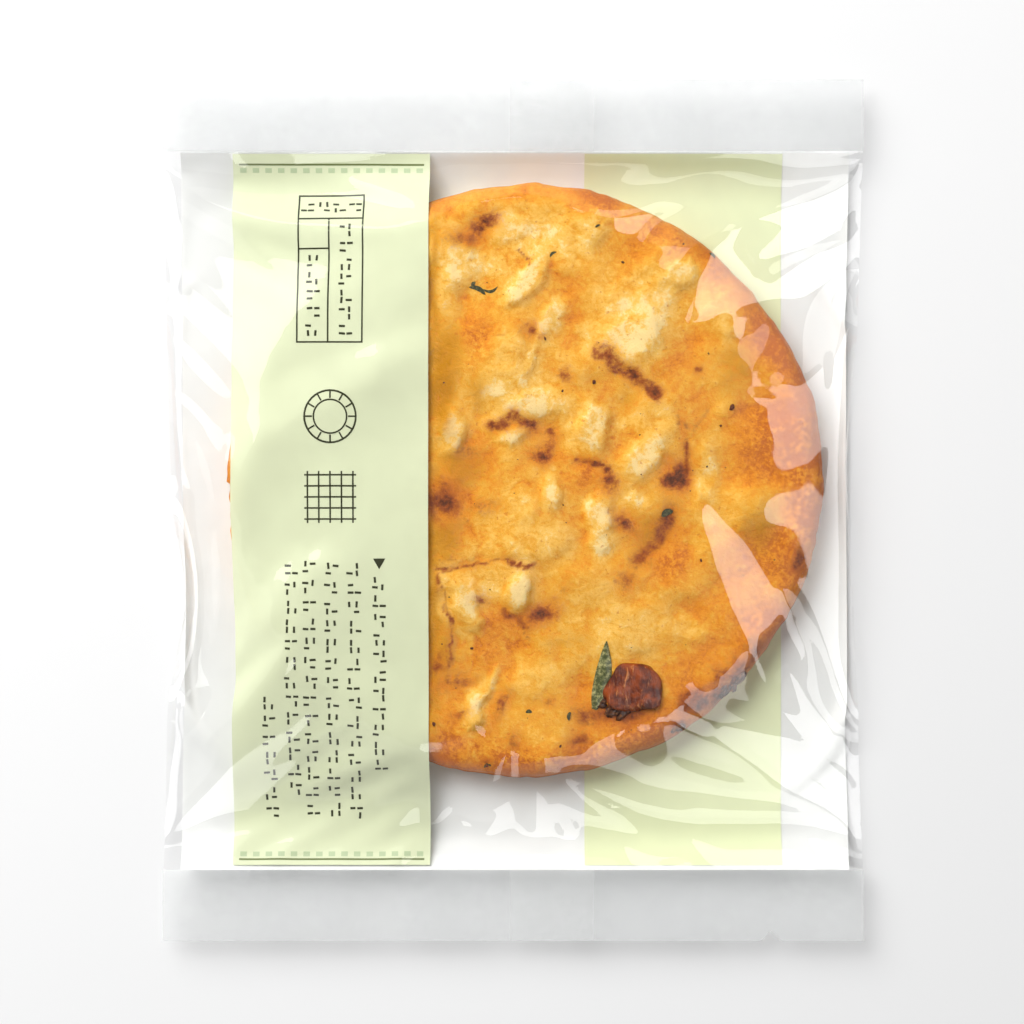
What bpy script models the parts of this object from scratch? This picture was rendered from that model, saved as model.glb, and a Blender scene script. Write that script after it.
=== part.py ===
"""A rice cracker sealed in a clear film sachet, which lies on its back.

The sachet is one closed solid out to its film: a low pillow that stands over the
round cracker, two flat end seals, side edges that pull in beside the cracker, and
a tear notch in the lower seal. +Z is up, +Y runs to the sachet's upper end, and
the origin is on the table, under the middle of the sachet.
"""

import math

import bmesh
import bpy
from mathutils import Vector

# Driving sizes, in metres.
PACK_WIDTH = 0.130
PACK_LENGTH = 0.1595
SEAL_LENGTH = 0.0130
SEAL_THICKNESS = 0.0004
SEAL_HEIGHT = 0.0050
CRACKER_RADIUS = 0.0550
CRACKER_CENTRE = Vector((0.0020, 0.0053))
RIM_HEIGHT = 0.0094
CROWN_HEIGHT = 0.0118
BASE_RADIUS = 0.0480

# The side edges pull in beside the cracker, in a long shallow waist with a short
# pinch in it. Each has a depth, a middle along the length, and a spread.
LEFT_WAIST = ((0.0014, -0.0050, 0.0400), (0.0030, -0.0162, 0.0125))
RIGHT_WAIST = ((0.0022, 0.0000, 0.0400), (0.0013, 0.0090, 0.0130))

# Tension folds that run from the cracker's rim to the film's edges.
FOLD_COUNT = 14
FOLD_HEIGHT = 0.0007
FOLD_PHASE = math.radians(11.0)

NOTCH_MIDDLE = 0.0478
NOTCH_WIDTH = 0.0034
NOTCH_DEPTH = 0.0019

GRID_COLUMNS = 34
GRID_ROWS = 42

HALF_WIDTH = PACK_WIDTH / 2
HALF_LENGTH = PACK_LENGTH / 2
POUCH_END = HALF_LENGTH - SEAL_LENGTH


def clear_scene():
    for old in list(bpy.data.objects):
        bpy.data.objects.remove(old, do_unlink=True)


def new_collection(name, hidden=False):
    made = bpy.data.collections.new(name)
    made.hide_render = hidden
    bpy.context.scene.collection.children.link(made)
    return made


def film_material():
    """Clear packing film, as a pale glossy surface."""
    film = bpy.data.materials.new("sachet_film")
    film.use_nodes = True
    shader = film.node_tree.nodes["Principled BSDF"]
    shader.inputs["Base Color"].default_value = (0.90, 0.87, 0.70, 1.0)
    shader.inputs["Roughness"].default_value = 0.18
    shader.inputs["Metallic"].default_value = 0.0
    return film


def waist_at(y, waist):
    """How far a side edge is pulled in at this place along the length."""
    return sum(
        depth * math.exp(-(((y - middle) / spread) ** 2))
        for depth, middle, spread in waist
    )


def pulled_in(x, y):
    """x on the flat film, moved in with the side edge that it is nearer to."""
    waist = LEFT_WAIST if x < 0 else RIGHT_WAIST
    share = abs(x) / HALF_WIDTH
    return x - math.copysign(waist_at(y, waist) * share ** 3, x)


def distance_to_edge(x, y):
    """From a point of the pouch to its nearest side edge or end seal."""
    waist = LEFT_WAIST if x < 0 else RIGHT_WAIST
    side = HALF_WIDTH - waist_at(y, waist) - abs(x)
    return max(0.0, min(side, POUCH_END - abs(y)))


def smooth_step(value):
    value = min(1.0, max(0.0, value))
    return value * value * (3 - 2 * value)


def fullness(x, y):
    """1 over the cracker, falling to 0 at the film's edges and seals."""
    beyond = max(0.0, (Vector((x, y)) - CRACKER_CENTRE).length - CRACKER_RADIUS)
    inside = distance_to_edge(x, y)
    return inside / (inside + beyond) if inside > 0 else 0.0


def fold_at(x, y, share):
    """The rise of the tension folds, which die out over the cracker and at the edges."""
    spoke = Vector((x, y)) - CRACKER_CENTRE
    angle = math.atan2(spoke.y, spoke.x)
    room = 4 * share * (1 - share) * smooth_step(spoke.length / CRACKER_RADIUS - 0.75)
    return FOLD_HEIGHT * room * math.cos(FOLD_COUNT * angle + FOLD_PHASE)


def top_height(x, y):
    """The film over the cracker: a low dome that falls to the seals."""
    share = fullness(x, y)
    radius = (Vector((x, y)) - CRACKER_CENTRE).length / CRACKER_RADIUS
    dome = (CROWN_HEIGHT - RIM_HEIGHT) * (1 - smooth_step(radius))
    edge = SEAL_HEIGHT + SEAL_THICKNESS / 2
    return edge + (RIM_HEIGHT - edge) * share ** 0.8 + dome * share + fold_at(x, y, share)


def bottom_height(x, y):
    """The film under the cracker: flat on the table, and rising to the seals."""
    edge = SEAL_HEIGHT - SEAL_THICKNESS / 2
    beyond = max(0.0, (Vector((x, y)) - CRACKER_CENTRE).length - BASE_RADIUS)
    inside = distance_to_edge(x, y)
    return edge * (beyond / (inside + beyond)) ** 1.4 if beyond > 0 else 0.0


def film_sheet(mesh, height_at):
    """A grid of the flat film's size, moved to the shape that the film takes."""
    made = bmesh.ops.create_grid(
        mesh, x_segments=GRID_COLUMNS, y_segments=GRID_ROWS, size=1.0
    )
    for vertex in made["verts"]:
        flat_x = vertex.co.x * HALF_WIDTH
        y = vertex.co.y * HALF_LENGTH
        x = pulled_in(flat_x, y)
        vertex.co = (x, y, height_at(x, y))
    return made["verts"]


def outline_of(vertices):
    edges = {edge for vertex in vertices for edge in vertex.link_edges}
    return [edge for edge in edges if edge.is_boundary]


def sachet_mesh():
    """The upper and lower film, joined round their edges into one closed solid."""
    mesh = bmesh.new()
    upper = film_sheet(mesh, top_height)
    lower = film_sheet(mesh, bottom_height)
    rims = outline_of(upper) + outline_of(lower)
    bmesh.ops.bridge_loops(mesh, edges=rims)
    bmesh.ops.recalc_face_normals(mesh, faces=mesh.faces)
    shape = bpy.data.meshes.new("sachet")
    mesh.to_mesh(shape)
    mesh.free()
    shape.shade_smooth()
    return shape


def notch_cutter(cutters):
    """An upright pointed prism that takes the tear notch out of the lower seal."""
    bpy.ops.mesh.primitive_cylinder_add(
        vertices=6,
        radius=NOTCH_WIDTH / 2,
        depth=SEAL_HEIGHT,
        location=(NOTCH_MIDDLE, -HALF_LENGTH, SEAL_HEIGHT),
    )
    cutter = bpy.context.active_object
    cutter.name = "notch_cutter"
    cutter.scale.y = NOTCH_DEPTH / (NOTCH_WIDTH / 2)
    cutter.hide_render = True
    cutter.display_type = "WIRE"
    for holder in list(cutter.users_collection):
        holder.objects.unlink(cutter)
    cutters.objects.link(cutter)
    return cutter


def build_sachet(parts, cutters):
    sachet = bpy.data.objects.new("sachet", sachet_mesh())
    sachet.data.materials.append(film_material())
    parts.objects.link(sachet)
    notch = sachet.modifiers.new("tear_notch", "BOOLEAN")
    notch.operation = "DIFFERENCE"
    notch.object = notch_cutter(cutters)
    return sachet


def main():
    clear_scene()
    parts = new_collection("rice_cracker_sachet")
    cutters = new_collection("cutters", hidden=True)
    build_sachet(parts, cutters)


main()
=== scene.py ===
"""A grilled rice cracker sealed in a clear film sachet, which lies on its back.

The sachet's solid is replaced by thin film with two printed bands, and by the cracker inside it. The film
is a flat tube that is settled over the cracker by a small simulation, so that it tents and creases.
"""

import math

import bmesh
import bpy
import numpy as np
from mathutils import Matrix, Vector


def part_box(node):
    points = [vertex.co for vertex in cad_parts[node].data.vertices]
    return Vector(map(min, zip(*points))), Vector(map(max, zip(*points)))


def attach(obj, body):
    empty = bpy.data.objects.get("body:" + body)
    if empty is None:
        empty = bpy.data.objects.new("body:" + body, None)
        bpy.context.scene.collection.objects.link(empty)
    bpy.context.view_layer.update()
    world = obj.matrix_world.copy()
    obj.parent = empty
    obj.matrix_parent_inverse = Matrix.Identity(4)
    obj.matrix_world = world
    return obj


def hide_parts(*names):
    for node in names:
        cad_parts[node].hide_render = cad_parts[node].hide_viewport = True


bl_info = {
    "name": "Rice cracker sachet",
    "version": (1, 0, 0),
    "blender": (4, 5, 0),
    "location": "3D View > Sidebar > Cracker",
    "description": "Makes a grilled rice cracker in a clear printed film sachet",
    "category": "Add Mesh",
}

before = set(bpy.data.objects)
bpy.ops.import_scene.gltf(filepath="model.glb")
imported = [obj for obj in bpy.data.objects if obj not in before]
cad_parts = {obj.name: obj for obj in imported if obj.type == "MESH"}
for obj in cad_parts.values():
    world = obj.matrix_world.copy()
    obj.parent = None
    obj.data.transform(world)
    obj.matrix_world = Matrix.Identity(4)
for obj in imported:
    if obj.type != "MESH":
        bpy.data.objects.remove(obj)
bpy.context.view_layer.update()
PACK_LOW, PACK_HIGH = (Vector([float(c) for c in corner]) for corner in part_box("sachet"))

# Lengths in the tables below are in millimetres; everything else is in metres.
MM = 0.001

# ---------------------------------------------------------------- sizes from the frame
PACK_WIDTH = PACK_HIGH.x - PACK_LOW.x
PACK_LENGTH = PACK_HIGH.y - PACK_LOW.y
SEAL_LENGTH = 13.0 * MM
SEAL_HEIGHT = 5.0 * MM
SEAL_LINE = PACK_LENGTH / 2 - SEAL_LENGTH
# The film is cut a little longer than the sachet, because it has to go up over the cracker.
FILM_LENGTH = PACK_LENGTH + 2.4 * MM

# The side folds draw in beside the cracker: (depth, middle along the length, spread).
LEFT_WAIST = ((1.4, -5.0, 40.0), (3.0, -16.2, 12.5))
RIGHT_WAIST = ((2.2, 0.0, 40.0), (1.3, 9.0, 13.0))

CRACKER_CENTRE = Vector((2.0 * MM, 5.3 * MM))
CRACKER_RADIUS = 55.0 * MM
CRACKER_EDGE_HEIGHT = 4.9 * MM
CRACKER_RIM_TOP = 8.1 * MM
CRACKER_UNDERSIDE = 0.6 * MM
CRACKER_DOME = 0.9 * MM
RIM_ROUNDING = 4.6 * MM

# What is baked into the cracker, in millimetres.
LEAF_BASE = (15.0, -36.7)
LEAF_TIP = (17.2, -24.1)
AMBER_PLACE = (22.2, -32.2)


# ---------------------------------------------------------------- small mathematics
def smooth(t):
    """Eases from 0 to 1 as t goes from 0 to 1."""
    t = np.clip(t, 0.0, 1.0)
    return t * t * (3.0 - 2.0 * t)


def linear(red, green, blue):
    """Linear colour of a screen colour whose channels run to 255."""
    channels = []
    for value in (red, green, blue):
        share = value / 255.0
        channels.append(share / 12.92 if share <= 0.04045 else ((share + 0.055) / 1.055) ** 2.4)
    return tuple(channels)


def lattice_noise(x, y, size, seed):
    """Smooth noise from -1 to 1 with lumps about size across."""
    count = 96
    table = np.random.default_rng(seed).uniform(-1.0, 1.0, (count, count))
    column = np.asarray(x) / size + count / 2
    row = np.asarray(y) / size + count / 2
    i = np.floor(column).astype(int)
    j = np.floor(row).astype(int)
    s = smooth(column - i)
    t = smooth(row - j)
    i, j, i_next, j_next = i % count, j % count, (i + 1) % count, (j + 1) % count
    near = table[i, j] * (1 - s) + table[i_next, j] * s
    far = table[i, j_next] * (1 - s) + table[i_next, j_next] * s
    return near * (1 - t) + far * t


def spot(x, y, mark):
    """1 in the middle of an oval mark and 0 outside. A mark is (x, y, length, width, turn) in millimetres
    and degrees, and the x and y asked for are in metres."""
    turn = math.radians(mark[4])
    dx = x - mark[0] * MM
    dy = y - mark[1] * MM
    along = (dx * math.cos(turn) + dy * math.sin(turn)) / (mark[2] * MM / 2)
    across = (dy * math.cos(turn) - dx * math.sin(turn)) / (mark[3] * MM / 2)
    return np.exp(-(along ** 2 + across ** 2))


def gap_to(x, y, points):
    """Distance to the line through the points, which are in millimetres."""
    nearest = np.full(np.shape(x), 1.0)
    for (ax, ay), (bx, by) in zip(points, points[1:]):
        ax, ay, bx, by = ax * MM, ay * MM, bx * MM, by * MM
        run = (bx - ax) ** 2 + (by - ay) ** 2
        share = np.clip(((x - ax) * (bx - ax) + (y - ay) * (by - ay)) / run, 0.0, 1.0)
        gap = np.hypot(x - ax - share * (bx - ax), y - ay - share * (by - ay))
        nearest = np.minimum(nearest, gap)
    return nearest


def stroke(x, y, points, width):
    """1 along the line through the points and 0 beside it. Points and width are in millimetres."""
    return np.exp(-(gap_to(x, y, points) / (width * MM / 2)) ** 2)


def is_within(x, y, corners):
    """Whether each point lies within an outline, whose corners are in millimetres."""
    found = np.zeros(np.shape(x), dtype=bool)
    for (ax, ay), (bx, by) in zip(corners, corners[1:] + corners[:1]):
        if ay != by:
            spans = (ay * MM > y) != (by * MM > y)
            found ^= spans & (x < (bx - ax) * (y - ay * MM) / (by - ay) + ax * MM)
    return found


# ---------------------------------------------------------------- the cracker's marks
# Pale blisters that puffed up in the heat: (x, y, length, width, turn, height, paleness).
PUFFS = (
    (2.3, 42.1, 9.0, 4.0, 50, 0.70, 1.0),
    (0.2, 52.0, 7.0, 5.0, 20, 0.35, 0.6),
    (-11.1, 46.0, 7.0, 8.0, 0, 0.45, 0.8),
    (15.1, 52.4, 4.0, 6.0, -10, 0.30, 0.6),
    (31.4, 43.9, 4.0, 5.0, 60, 0.50, 0.9),
    (27.1, 40.0, 10.0, 5.0, 35, 0.35, 0.6),
    (21.8, 32.2, 12.0, 8.0, 20, 0.80, 0.9),
    (7.3, 35.4, 8.0, 3.6, 60, 0.35, 0.7),
    (3.0, 27.6, 6.0, 1.2, 65, 0.20, 0.8),
    (4.5, 19.8, 9.0, 4.5, 10, 0.40, 0.8),
    (-0.9, 22.5, 9.0, 7.0, 0, 0.35, 0.6),
    (14.7, 15.5, 5.0, 9.0, -5, 0.95, 1.0),
    (-1.2, 28.6, 8.0, 7.0, 0, 0.25, 0.4),
    (-10.8, 14.6, 3.6, 7.0, 0, 0.75, 1.0),
    (-0.1, 13.9, 4.0, 2.2, 20, 0.50, 0.9),
    (24.3, 10.2, 8.0, 4.5, 40, 0.55, 0.9),
    (26.4, 17.4, 8.0, 8.0, 0, 0.40, 0.5),
    (-12.2, 38.5, 4.0, 8.0, 0, 0.30, 0.5),
    (7.3, 3.5, 3.0, 6.0, 0, 0.60, 1.0),
    (1.3, 0.7, 6.0, 6.0, 0, 0.30, 0.4),
    (15.8, -0.7, 4.0, 6.0, 0, 0.70, 1.0),
    (16.2, -5.9, 4.0, 4.0, 0, 0.45, 0.9),
    (22.5, 2.1, 2.0, 3.0, 0, 0.30, 0.8),
    (0.9, -15.6, 3.2, 6.0, -20, 0.85, 1.0),
    (-8.3, -17.4, 4.0, 9.0, 10, 0.60, 0.8),
    (-11.8, -13.1, 5.0, 4.0, 0, 0.30, 0.4),
    (24.0, -21.3, 12.0, 8.0, 0, 0.35, 0.4),
    (3.1, -31.5, 9.0, 5.0, 0, 0.30, 0.4),
    (-6.9, -36.0, 3.5, 7.0, -20, 0.75, 0.9),
    (-4.0, -31.2, 1.4, 6.0, -10, 0.35, 0.8),
    (4.5, -5.5, 11.0, 9.0, 0, 0.30, 0.4),
    (35.6, 6.5, 3.5, 10.0, 0, 0.35, 0.5),
    (38.0, 36.0, 8.0, 5.0, -40, 0.30, 0.4),
    (44.0, 0.0, 6.0, 9.0, 20, 0.35, 0.3),
    (32.0, -22.0, 7.0, 5.0, -20, 0.30, 0.5),
    (-27.0, 26.0, 12.0, 8.0, 30, 0.60, 0.8),
    (-33.0, 2.0, 8.0, 11.0, 10, 0.55, 0.8),
    (-24.0, -17.0, 10.0, 7.0, -30, 0.50, 0.7),
    (-38.0, -13.0, 6.0, 9.0, 0, 0.40, 0.6),
    (-21.0, 41.0, 8.0, 5.0, -20, 0.40, 0.7),
    (3.0, 51.0, 22.0, 9.0, -8, 0.0, 0.75),
    (-4.0, 45.0, 20.0, 8.0, 0, 0.0, 0.55),
    (23.0, 36.0, 24.0, 14.0, 25, 0.0, 0.55),
    (2.0, 24.0, 20.0, 12.0, 15, 0.0, 0.5),
    (18.0, 15.0, 20.0, 12.0, 20, 0.0, 0.45),
    (-1.0, -5.0, 18.0, 10.0, 0, 0.0, 0.4),
    (-5.0, -16.0, 16.0, 8.0, 10, 0.0, 0.5),
    (16.0, -22.0, 26.0, 12.0, -10, 0.0, 0.4),
)

# Toasted orange zones: (x, y, length, width, turn, depth of colour).
TOASTED = (
    (-8.0, 50.4, 12.0, 6.0, 10, 0.8),
    (0.6, 58.0, 10.0, 4.5, 0, 0.6),
    (10.1, 56.4, 7.0, 2.5, -10, 0.8),
    (27.0, 51.5, 22.0, 7.5, -32, 0.9),
    (37.5, 44.5, 9.0, 5.0, -35, 0.8),
    (-7.4, 30.4, 9.0, 13.0, 0, 0.9),
    (12.0, 41.4, 12.0, 9.0, 0, 0.35),
    (12.0, 35.4, 6.0, 5.0, 0, 0.7),
    (28.6, 27.2, 9.0, 7.0, 0, 0.6),
    (18.4, 13.0, 4.5, 8.0, 0, 0.7),
    (20.8, 44.6, 5.0, 8.0, -20, 0.5),
    (29.5, -10.3, 11.0, 10.0, 0, 0.9),
    (34.0, -17.0, 12.0, 12.0, 0, 0.6),
    (11.5, -12.0, 12.0, 6.0, 0, 0.5),
    (-9.0, -43.6, 16.0, 5.0, -12, 0.9),
    (7.0, -45.6, 16.0, 5.0, 8, 0.8),
    (42.4, 9.9, 10.0, 8.0, 0, 0.5),
    (47.2, 33.0, 5.0, 12.0, 25, 1.0),
    (51.5, 18.0, 4.0, 16.0, 12, 0.6),
    (50.0, -12.0, 7.0, 16.0, -10, 0.8),
    (43.0, -25.0, 10.0, 10.0, 0, 0.8),
    (24.0, -40.0, 12.0, 6.0, 15, 0.7),
    (-12.0, 4.0, 8.0, 7.0, 0, 0.6),
    (0.6, 15.0, 10.0, 6.0, 0, 0.6),
    (1.0, -19.0, 16.0, 6.0, 5, 0.6),
    (-4.0, -26.0, 9.0, 8.0, 0, 0.4),
    (13.0, 7.0, 9.0, 5.0, 0, 0.5),
    (-30.0, 15.0, 9.0, 8.0, 0, 0.7),
    (-46.0, -4.0, 10.0, 22.0, 0, 0.9),
    (-28.0, -28.0, 12.0, 7.0, -30, 0.7),
    (-22.0, 35.0, 12.0, 6.0, 20, 0.6),
)

# Dull olive-gold places, where the glaze is thick, and painted shadow of the front band: the narrow rows near
# x = -10 to -15 lie along the band's right edge, where its shadow falls. (x, y, length, width, turn, depth of
# colour).
GLAZE_AND_BAND_SHADOW = (
    (-12.6, 24.0, 6.0, 24.0, 0, 1.0),
    (-14.6, 38.0, 3.0, 40.0, 0, 0.8),
    (-14.8, -20.0, 3.0, 50.0, 0, 0.8),
    (-6.8, 21.5, 5.0, 8.0, 0, 0.6),
    (-10.0, 7.5, 12.0, 6.0, 0, 0.8),
    (-12.5, -5.0, 7.0, 9.0, 0, 0.9),
    (22.0, 19.0, 8.0, 5.0, 0, 0.5),
    (25.5, -4.0, 7.0, 13.0, -28, 0.7),
    (41.0, 26.0, 8.0, 10.0, 0, 0.6),
    (44.5, -3.0, 10.0, 12.0, 0, 0.6),
    (-12.0, -26.0, 6.0, 12.0, 0, 0.7),
    (9.0, -24.0, 14.0, 6.0, 0, 0.5),
    (14.0, 25.0, 9.0, 6.0, 0, 0.3),
    (-30.0, -5.0, 20.0, 14.0, 0, 0.5),
)

# Scorched spots: (x, y, length, width, turn, depth of colour).
SCORCHED = (
    (-5.4, 52.6, 5.0, 2.6, 35, 1.0),
    (-9.0, 50.4, 8.5, 3.0, 15, 0.55),
    (2.0, 46.3, 2.6, 1.6, -50, 0.45),
    (3.6, 33.2, 3.4, 2.2, 0, 0.8),
    (5.9, 31.6, 1.3, 1.0, 0, 0.7),
    (9.6, 24.5, 3.2, 2.4, 0, 0.75),
    (18.2, 28.6, 5.0, 3.0, -30, 0.65),
    (33.9, 25.8, 2.2, 1.6, 0, 0.7),
    (5.9, 10.6, 3.4, 3.2, 0, 1.0),
    (7.3, 13.5, 2.4, 1.8, 20, 0.8),
    (-8.3, 11.2, 3.6, 5.0, 0, 0.45),
    (17.9, 5.0, 4.2, 2.8, -20, 0.9),
    (29.6, 6.0, 5.5, 4.6, 40, 1.0),
    (-12.6, 1.6, 6.0, 6.0, 0, 0.95),
    (-5.1, 0.7, 6.0, 2.4, -8, 0.55),
    (20.6, -2.4, 4.6, 2.4, -50, 0.8),
    (18.3, 0.6, 2.4, 1.6, 0, 0.45),
    (20.4, -12.6, 4.6, 3.8, 0, 0.6),
    (-6.2, -16.3, 4.0, 2.0, -30, 0.6),
    (5.7, -18.8, 5.6, 3.2, 20, 0.95),
    (9.4, -14.5, 2.2, 1.8, 0, 0.4),
    (-13.4, -28.4, 5.0, 4.0, 0, 0.6),
    (-11.0, -32.0, 7.0, 3.0, 10, 0.55),
    (-2.1, -35.6, 2.2, 4.6, -20, 0.75),
    (-10.1, -37.6, 4.0, 2.0, 0, 0.6),
    (7.0, -35.6, 2.4, 1.4, 0, 0.6),
    (11.9, -42.2, 4.4, 2.8, 0, 0.65),
    (14.0, -37.0, 6.0, 5.0, 0, 0.6),
    (20.0, -37.0, 9.0, 3.6, 8, 0.95),
    (35.0, -34.6, 12.0, 3.8, 22, 0.85),
    (40.6, -30.6, 9.0, 5.0, 45, 0.85),
    (44.6, -25.4, 4.4, 8.0, -25, 0.6),
    (30.3, -40.0, 3.6, 1.6, 20, 0.8),
    (0.2, -42.4, 2.4, 4.0, 0, 0.5),
    (52.0, -8.8, 3.4, 4.6, 0, 0.9),
    (53.0, -2.0, 2.0, 3.0, 0, 0.4),
    (-4.7, -46.6, 1.6, 1.2, 0, 0.7),
    (-30.0, 32.0, 8.0, 4.0, 20, 0.9),
    (-36.0, 12.0, 4.0, 7.0, 0, 0.8),
    (-26.0, -8.0, 6.0, 5.0, 0, 0.9),
    (-33.0, -24.0, 9.0, 4.0, -40, 0.9),
)

# Scorch lines and hairline cracks: (points, width, depth of colour, groove depth).
STREAKS = (
    (((-5.4, 31.9), (3.0, 32.2)), 0.8, 0.35, 0.12),
    (((0.8, 47.8), (2.2, 46.8), (2.6, 45.2)), 0.9, 0.6, 0.10),
    (((16.0, 29.4), (20.1, 26.2), (23.6, 23.4), (27.5, 21.2)), 2.2, 0.85, 0.25),
    (((30.3, 18.0), (32.4, 15.4), (34.4, 15.6), (35.6, 18.0)), 1.2, 0.45, 0.12),
    (((-3.4, 15.8), (0.6, 17.2), (4.5, 15.0)), 2.4, 0.8, -0.2),
    (((11.6, 9.2), (15.2, 8.6), (18.6, 6.8)), 1.5, 0.75, 0.2),
    (((31.9, 13.0), (31.6, 6.6)), 1.4, 0.7, 0.15),
    (((28.9, -0.4), (27.8, -3.6), (25.7, -6.2), (23.3, -9.2)), 3.0, 0.65, 0.35),
    (((-14.7, -8.2), (-10.2, -8.5)), 0.7, 0.5, 0.15),
    (((-13.6, -10.6), (-6.8, -9.9), (-3.0, -9.1), (0.6, -9.4), (4.5, -9.7)), 1.0, 0.65, 0.35),
    (((-14.4, -11.0), (-13.6, -14.0), (-11.5, -19.2), (-10.9, -25.2), (-10.8, -29.4)), 0.9, 0.6, 0.3),
    (((-1.6, -18.6), (2.6, -21.0)), 2.0, 0.8, 0.1),
    (((1.6, -20.6), (2.9, -24.0)), 0.7, 0.5, 0.1),
    (((-8.3, -4.0), (-9.4, -1.0)), 1.4, 0.4, 0.1),
    (((35.0, 3.0), (35.6, -6.0)), 1.0, 0.2, 0.1),
)


def depth_of(x, y, marks, scale=1.0):
    """Strongest of the oval marks at each point, whose last value is its depth of colour."""
    total = np.zeros(np.shape(x))
    for mark in marks:
        total = np.maximum(total, mark[-1] * scale * spot(x, y, mark))
    return total


def ragged(x, y, reach, size, seed):
    """Moves points sideways by noise, so that round marks get uneven outlines."""
    return (x + reach * lattice_noise(x, y, size, seed),
            y + reach * lattice_noise(x, y, size, seed + 50))


# ---------------------------------------------------------------- the cracker's form
def rim_radius(angle):
    """Radius of the cracker's uneven outline."""
    wave = 0.35 * np.sin(2 * angle + 0.4) + 0.28 * np.sin(3 * angle + 2.1) + 0.22 * np.sin(5 * angle + 1.0)
    level = angle * 0
    nicks = 0.30 * lattice_noise(angle, level, 0.09, 71) + 0.16 * lattice_noise(angle, level, 0.03, 72)
    return CRACKER_RADIUS + (wave + nicks) * MM


def lumps(x, y):
    """Height of the cracker's swells and blisters over its even top."""
    height = 0.55 * lattice_noise(x, y, 15 * MM, 11) + 0.50 * lattice_noise(x, y, 6.5 * MM, 12)
    height = height + 0.20 * lattice_noise(x, y, 3.0 * MM, 13)
    warped_x, warped_y = ragged(x, y, 0.9 * MM, 3 * MM, 21)
    for puff in PUFFS:
        # A blister has a rounded top and fairly steep sides.
        height = height + 1.35 * puff[5] * smooth(1.7 * spot(warped_x, warped_y, puff[:5]))
    for points, width, _, groove in STREAKS:
        height = height - groove * stroke(warped_x, warped_y, points, width)
    return height * MM


def fine_relief(x, y):
    """Small crusty relief, which is roughest on scorched spots."""
    warped_x, warped_y = ragged(x, y, 0.8 * MM, 2.5 * MM, 41)
    crust = depth_of(warped_x, warped_y, SCORCHED)
    crisp = lattice_noise(x, y, 1.3 * MM, 14)
    return (0.030 + 0.09 * crust) * MM * crisp + 0.10 * MM * crust


def bits_height(x, y):
    """How far the leaf and the glazed piece stand above the cracker."""
    leaf = 0.9 * stroke(x, y, (LEAF_BASE, LEAF_TIP), 3.0)
    return np.maximum(leaf, 1.15 * spot(x, y, (*AMBER_PLACE, 17.0, 15.0, 0))) * MM


def cracker_levels(x, y, relief):
    """Top and underside of the cracker at each point inside its outline, with this relief on top."""
    across = x - CRACKER_CENTRE.x
    along = y - CRACKER_CENTRE.y
    reach = np.hypot(across, along)
    inset = np.clip((rim_radius(np.arctan2(along, across)) - reach) / RIM_ROUNDING, 0.0, 1.0)
    arc = np.sqrt(np.maximum(1.0 - (1.0 - inset) ** 2, 0.0))
    dome = CRACKER_DOME * (1.0 - smooth(reach / CRACKER_RADIUS))
    top = CRACKER_EDGE_HEIGHT + (CRACKER_RIM_TOP - CRACKER_EDGE_HEIGHT + dome + relief) * arc
    low = CRACKER_EDGE_HEIGHT - (CRACKER_EDGE_HEIGHT - CRACKER_UNDERSIDE) * arc
    return reach, top, low


# ---------------------------------------------------------------- the film, settled over the cracker
# Pleats of the front film: (crest, foot, slope, reach). The film falls from the crest to the foot with this
# slope, and rises to the crest from behind within the reach.
PLEATS = (
    (((30.5, 33.0), (33.6, 40.2), (38.0, 46.6), (41.0, 50.0)),
     ((30.5, 33.0), (35.0, 33.6), (40.2, 37.0), (47.0, 42.0)), 0.34, 16.0),
    (((49.5, 35.0), (43.6, 27.0), (42.4, 21.0), (47.2, 15.0), (53.6, 9.6)),
     ((49.5, 35.0), (56.5, 27.0), (59.0, 18.0), (57.5, 12.0), (53.6, 9.6)), 0.16, 18.0),
    (((34.6, 2.4), (34.2, -1.2), (37.0, -9.8), (41.2, -20.4), (47.0, -31.0)),
     ((34.6, 2.4), (41.5, -4.6), (46.6, -11.8), (50.0, -18.0), (54.0, -27.0)), 0.34, 16.0),
    (((5.0, -49.0), (13.0, -46.0), (17.6, -40.6), (22.2, -38.8), (28.5, -41.4)),
     ((5.0, -49.0), (12.0, -53.0), (20.0, -51.0), (26.0, -48.0), (28.5, -41.4)), 0.09, 10.0),
    (((-3.4, -51.0), (-0.2, -41.0)), ((0.0, -51.0), (-0.2, -41.0)), 0.40, 8.0),
    (((-60.5, 3.0), (-40.0, 17.0), (-16.0, 30.5)),
     ((-60.5, 12.0), (-40.0, 26.0), (-16.0, 35.0)), 0.16, 14.0),
    (((-60.5, -37.0), (-48.0, -24.0), (-36.0, -10.0)),
     ((-60.5, -28.0), (-50.0, -17.0), (-40.0, -6.0)), 0.16, 14.0),
    (((6.0, 60.5), (14.0, 55.6), (19.0, 53.6), (26.5, 54.6)),
     ((6.0, 60.5), (13.5, 63.5), (21.0, 61.0), (26.5, 54.6)), 0.12, 10.0),
)
FILM_COLUMNS = 26
FILM_ROWS = 32
SETTLING_STEPS = (300, 300, 420)
LEAST_HEIGHT = 0.35 * MM
CLEARANCE = 0.30 * MM


def waist_at(y, waist):
    """How far a side fold draws in at this place along the sachet."""
    return sum(depth * MM * np.exp(-(((y - middle * MM) / (spread * MM)) ** 2))
               for depth, middle, spread in waist)


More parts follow.
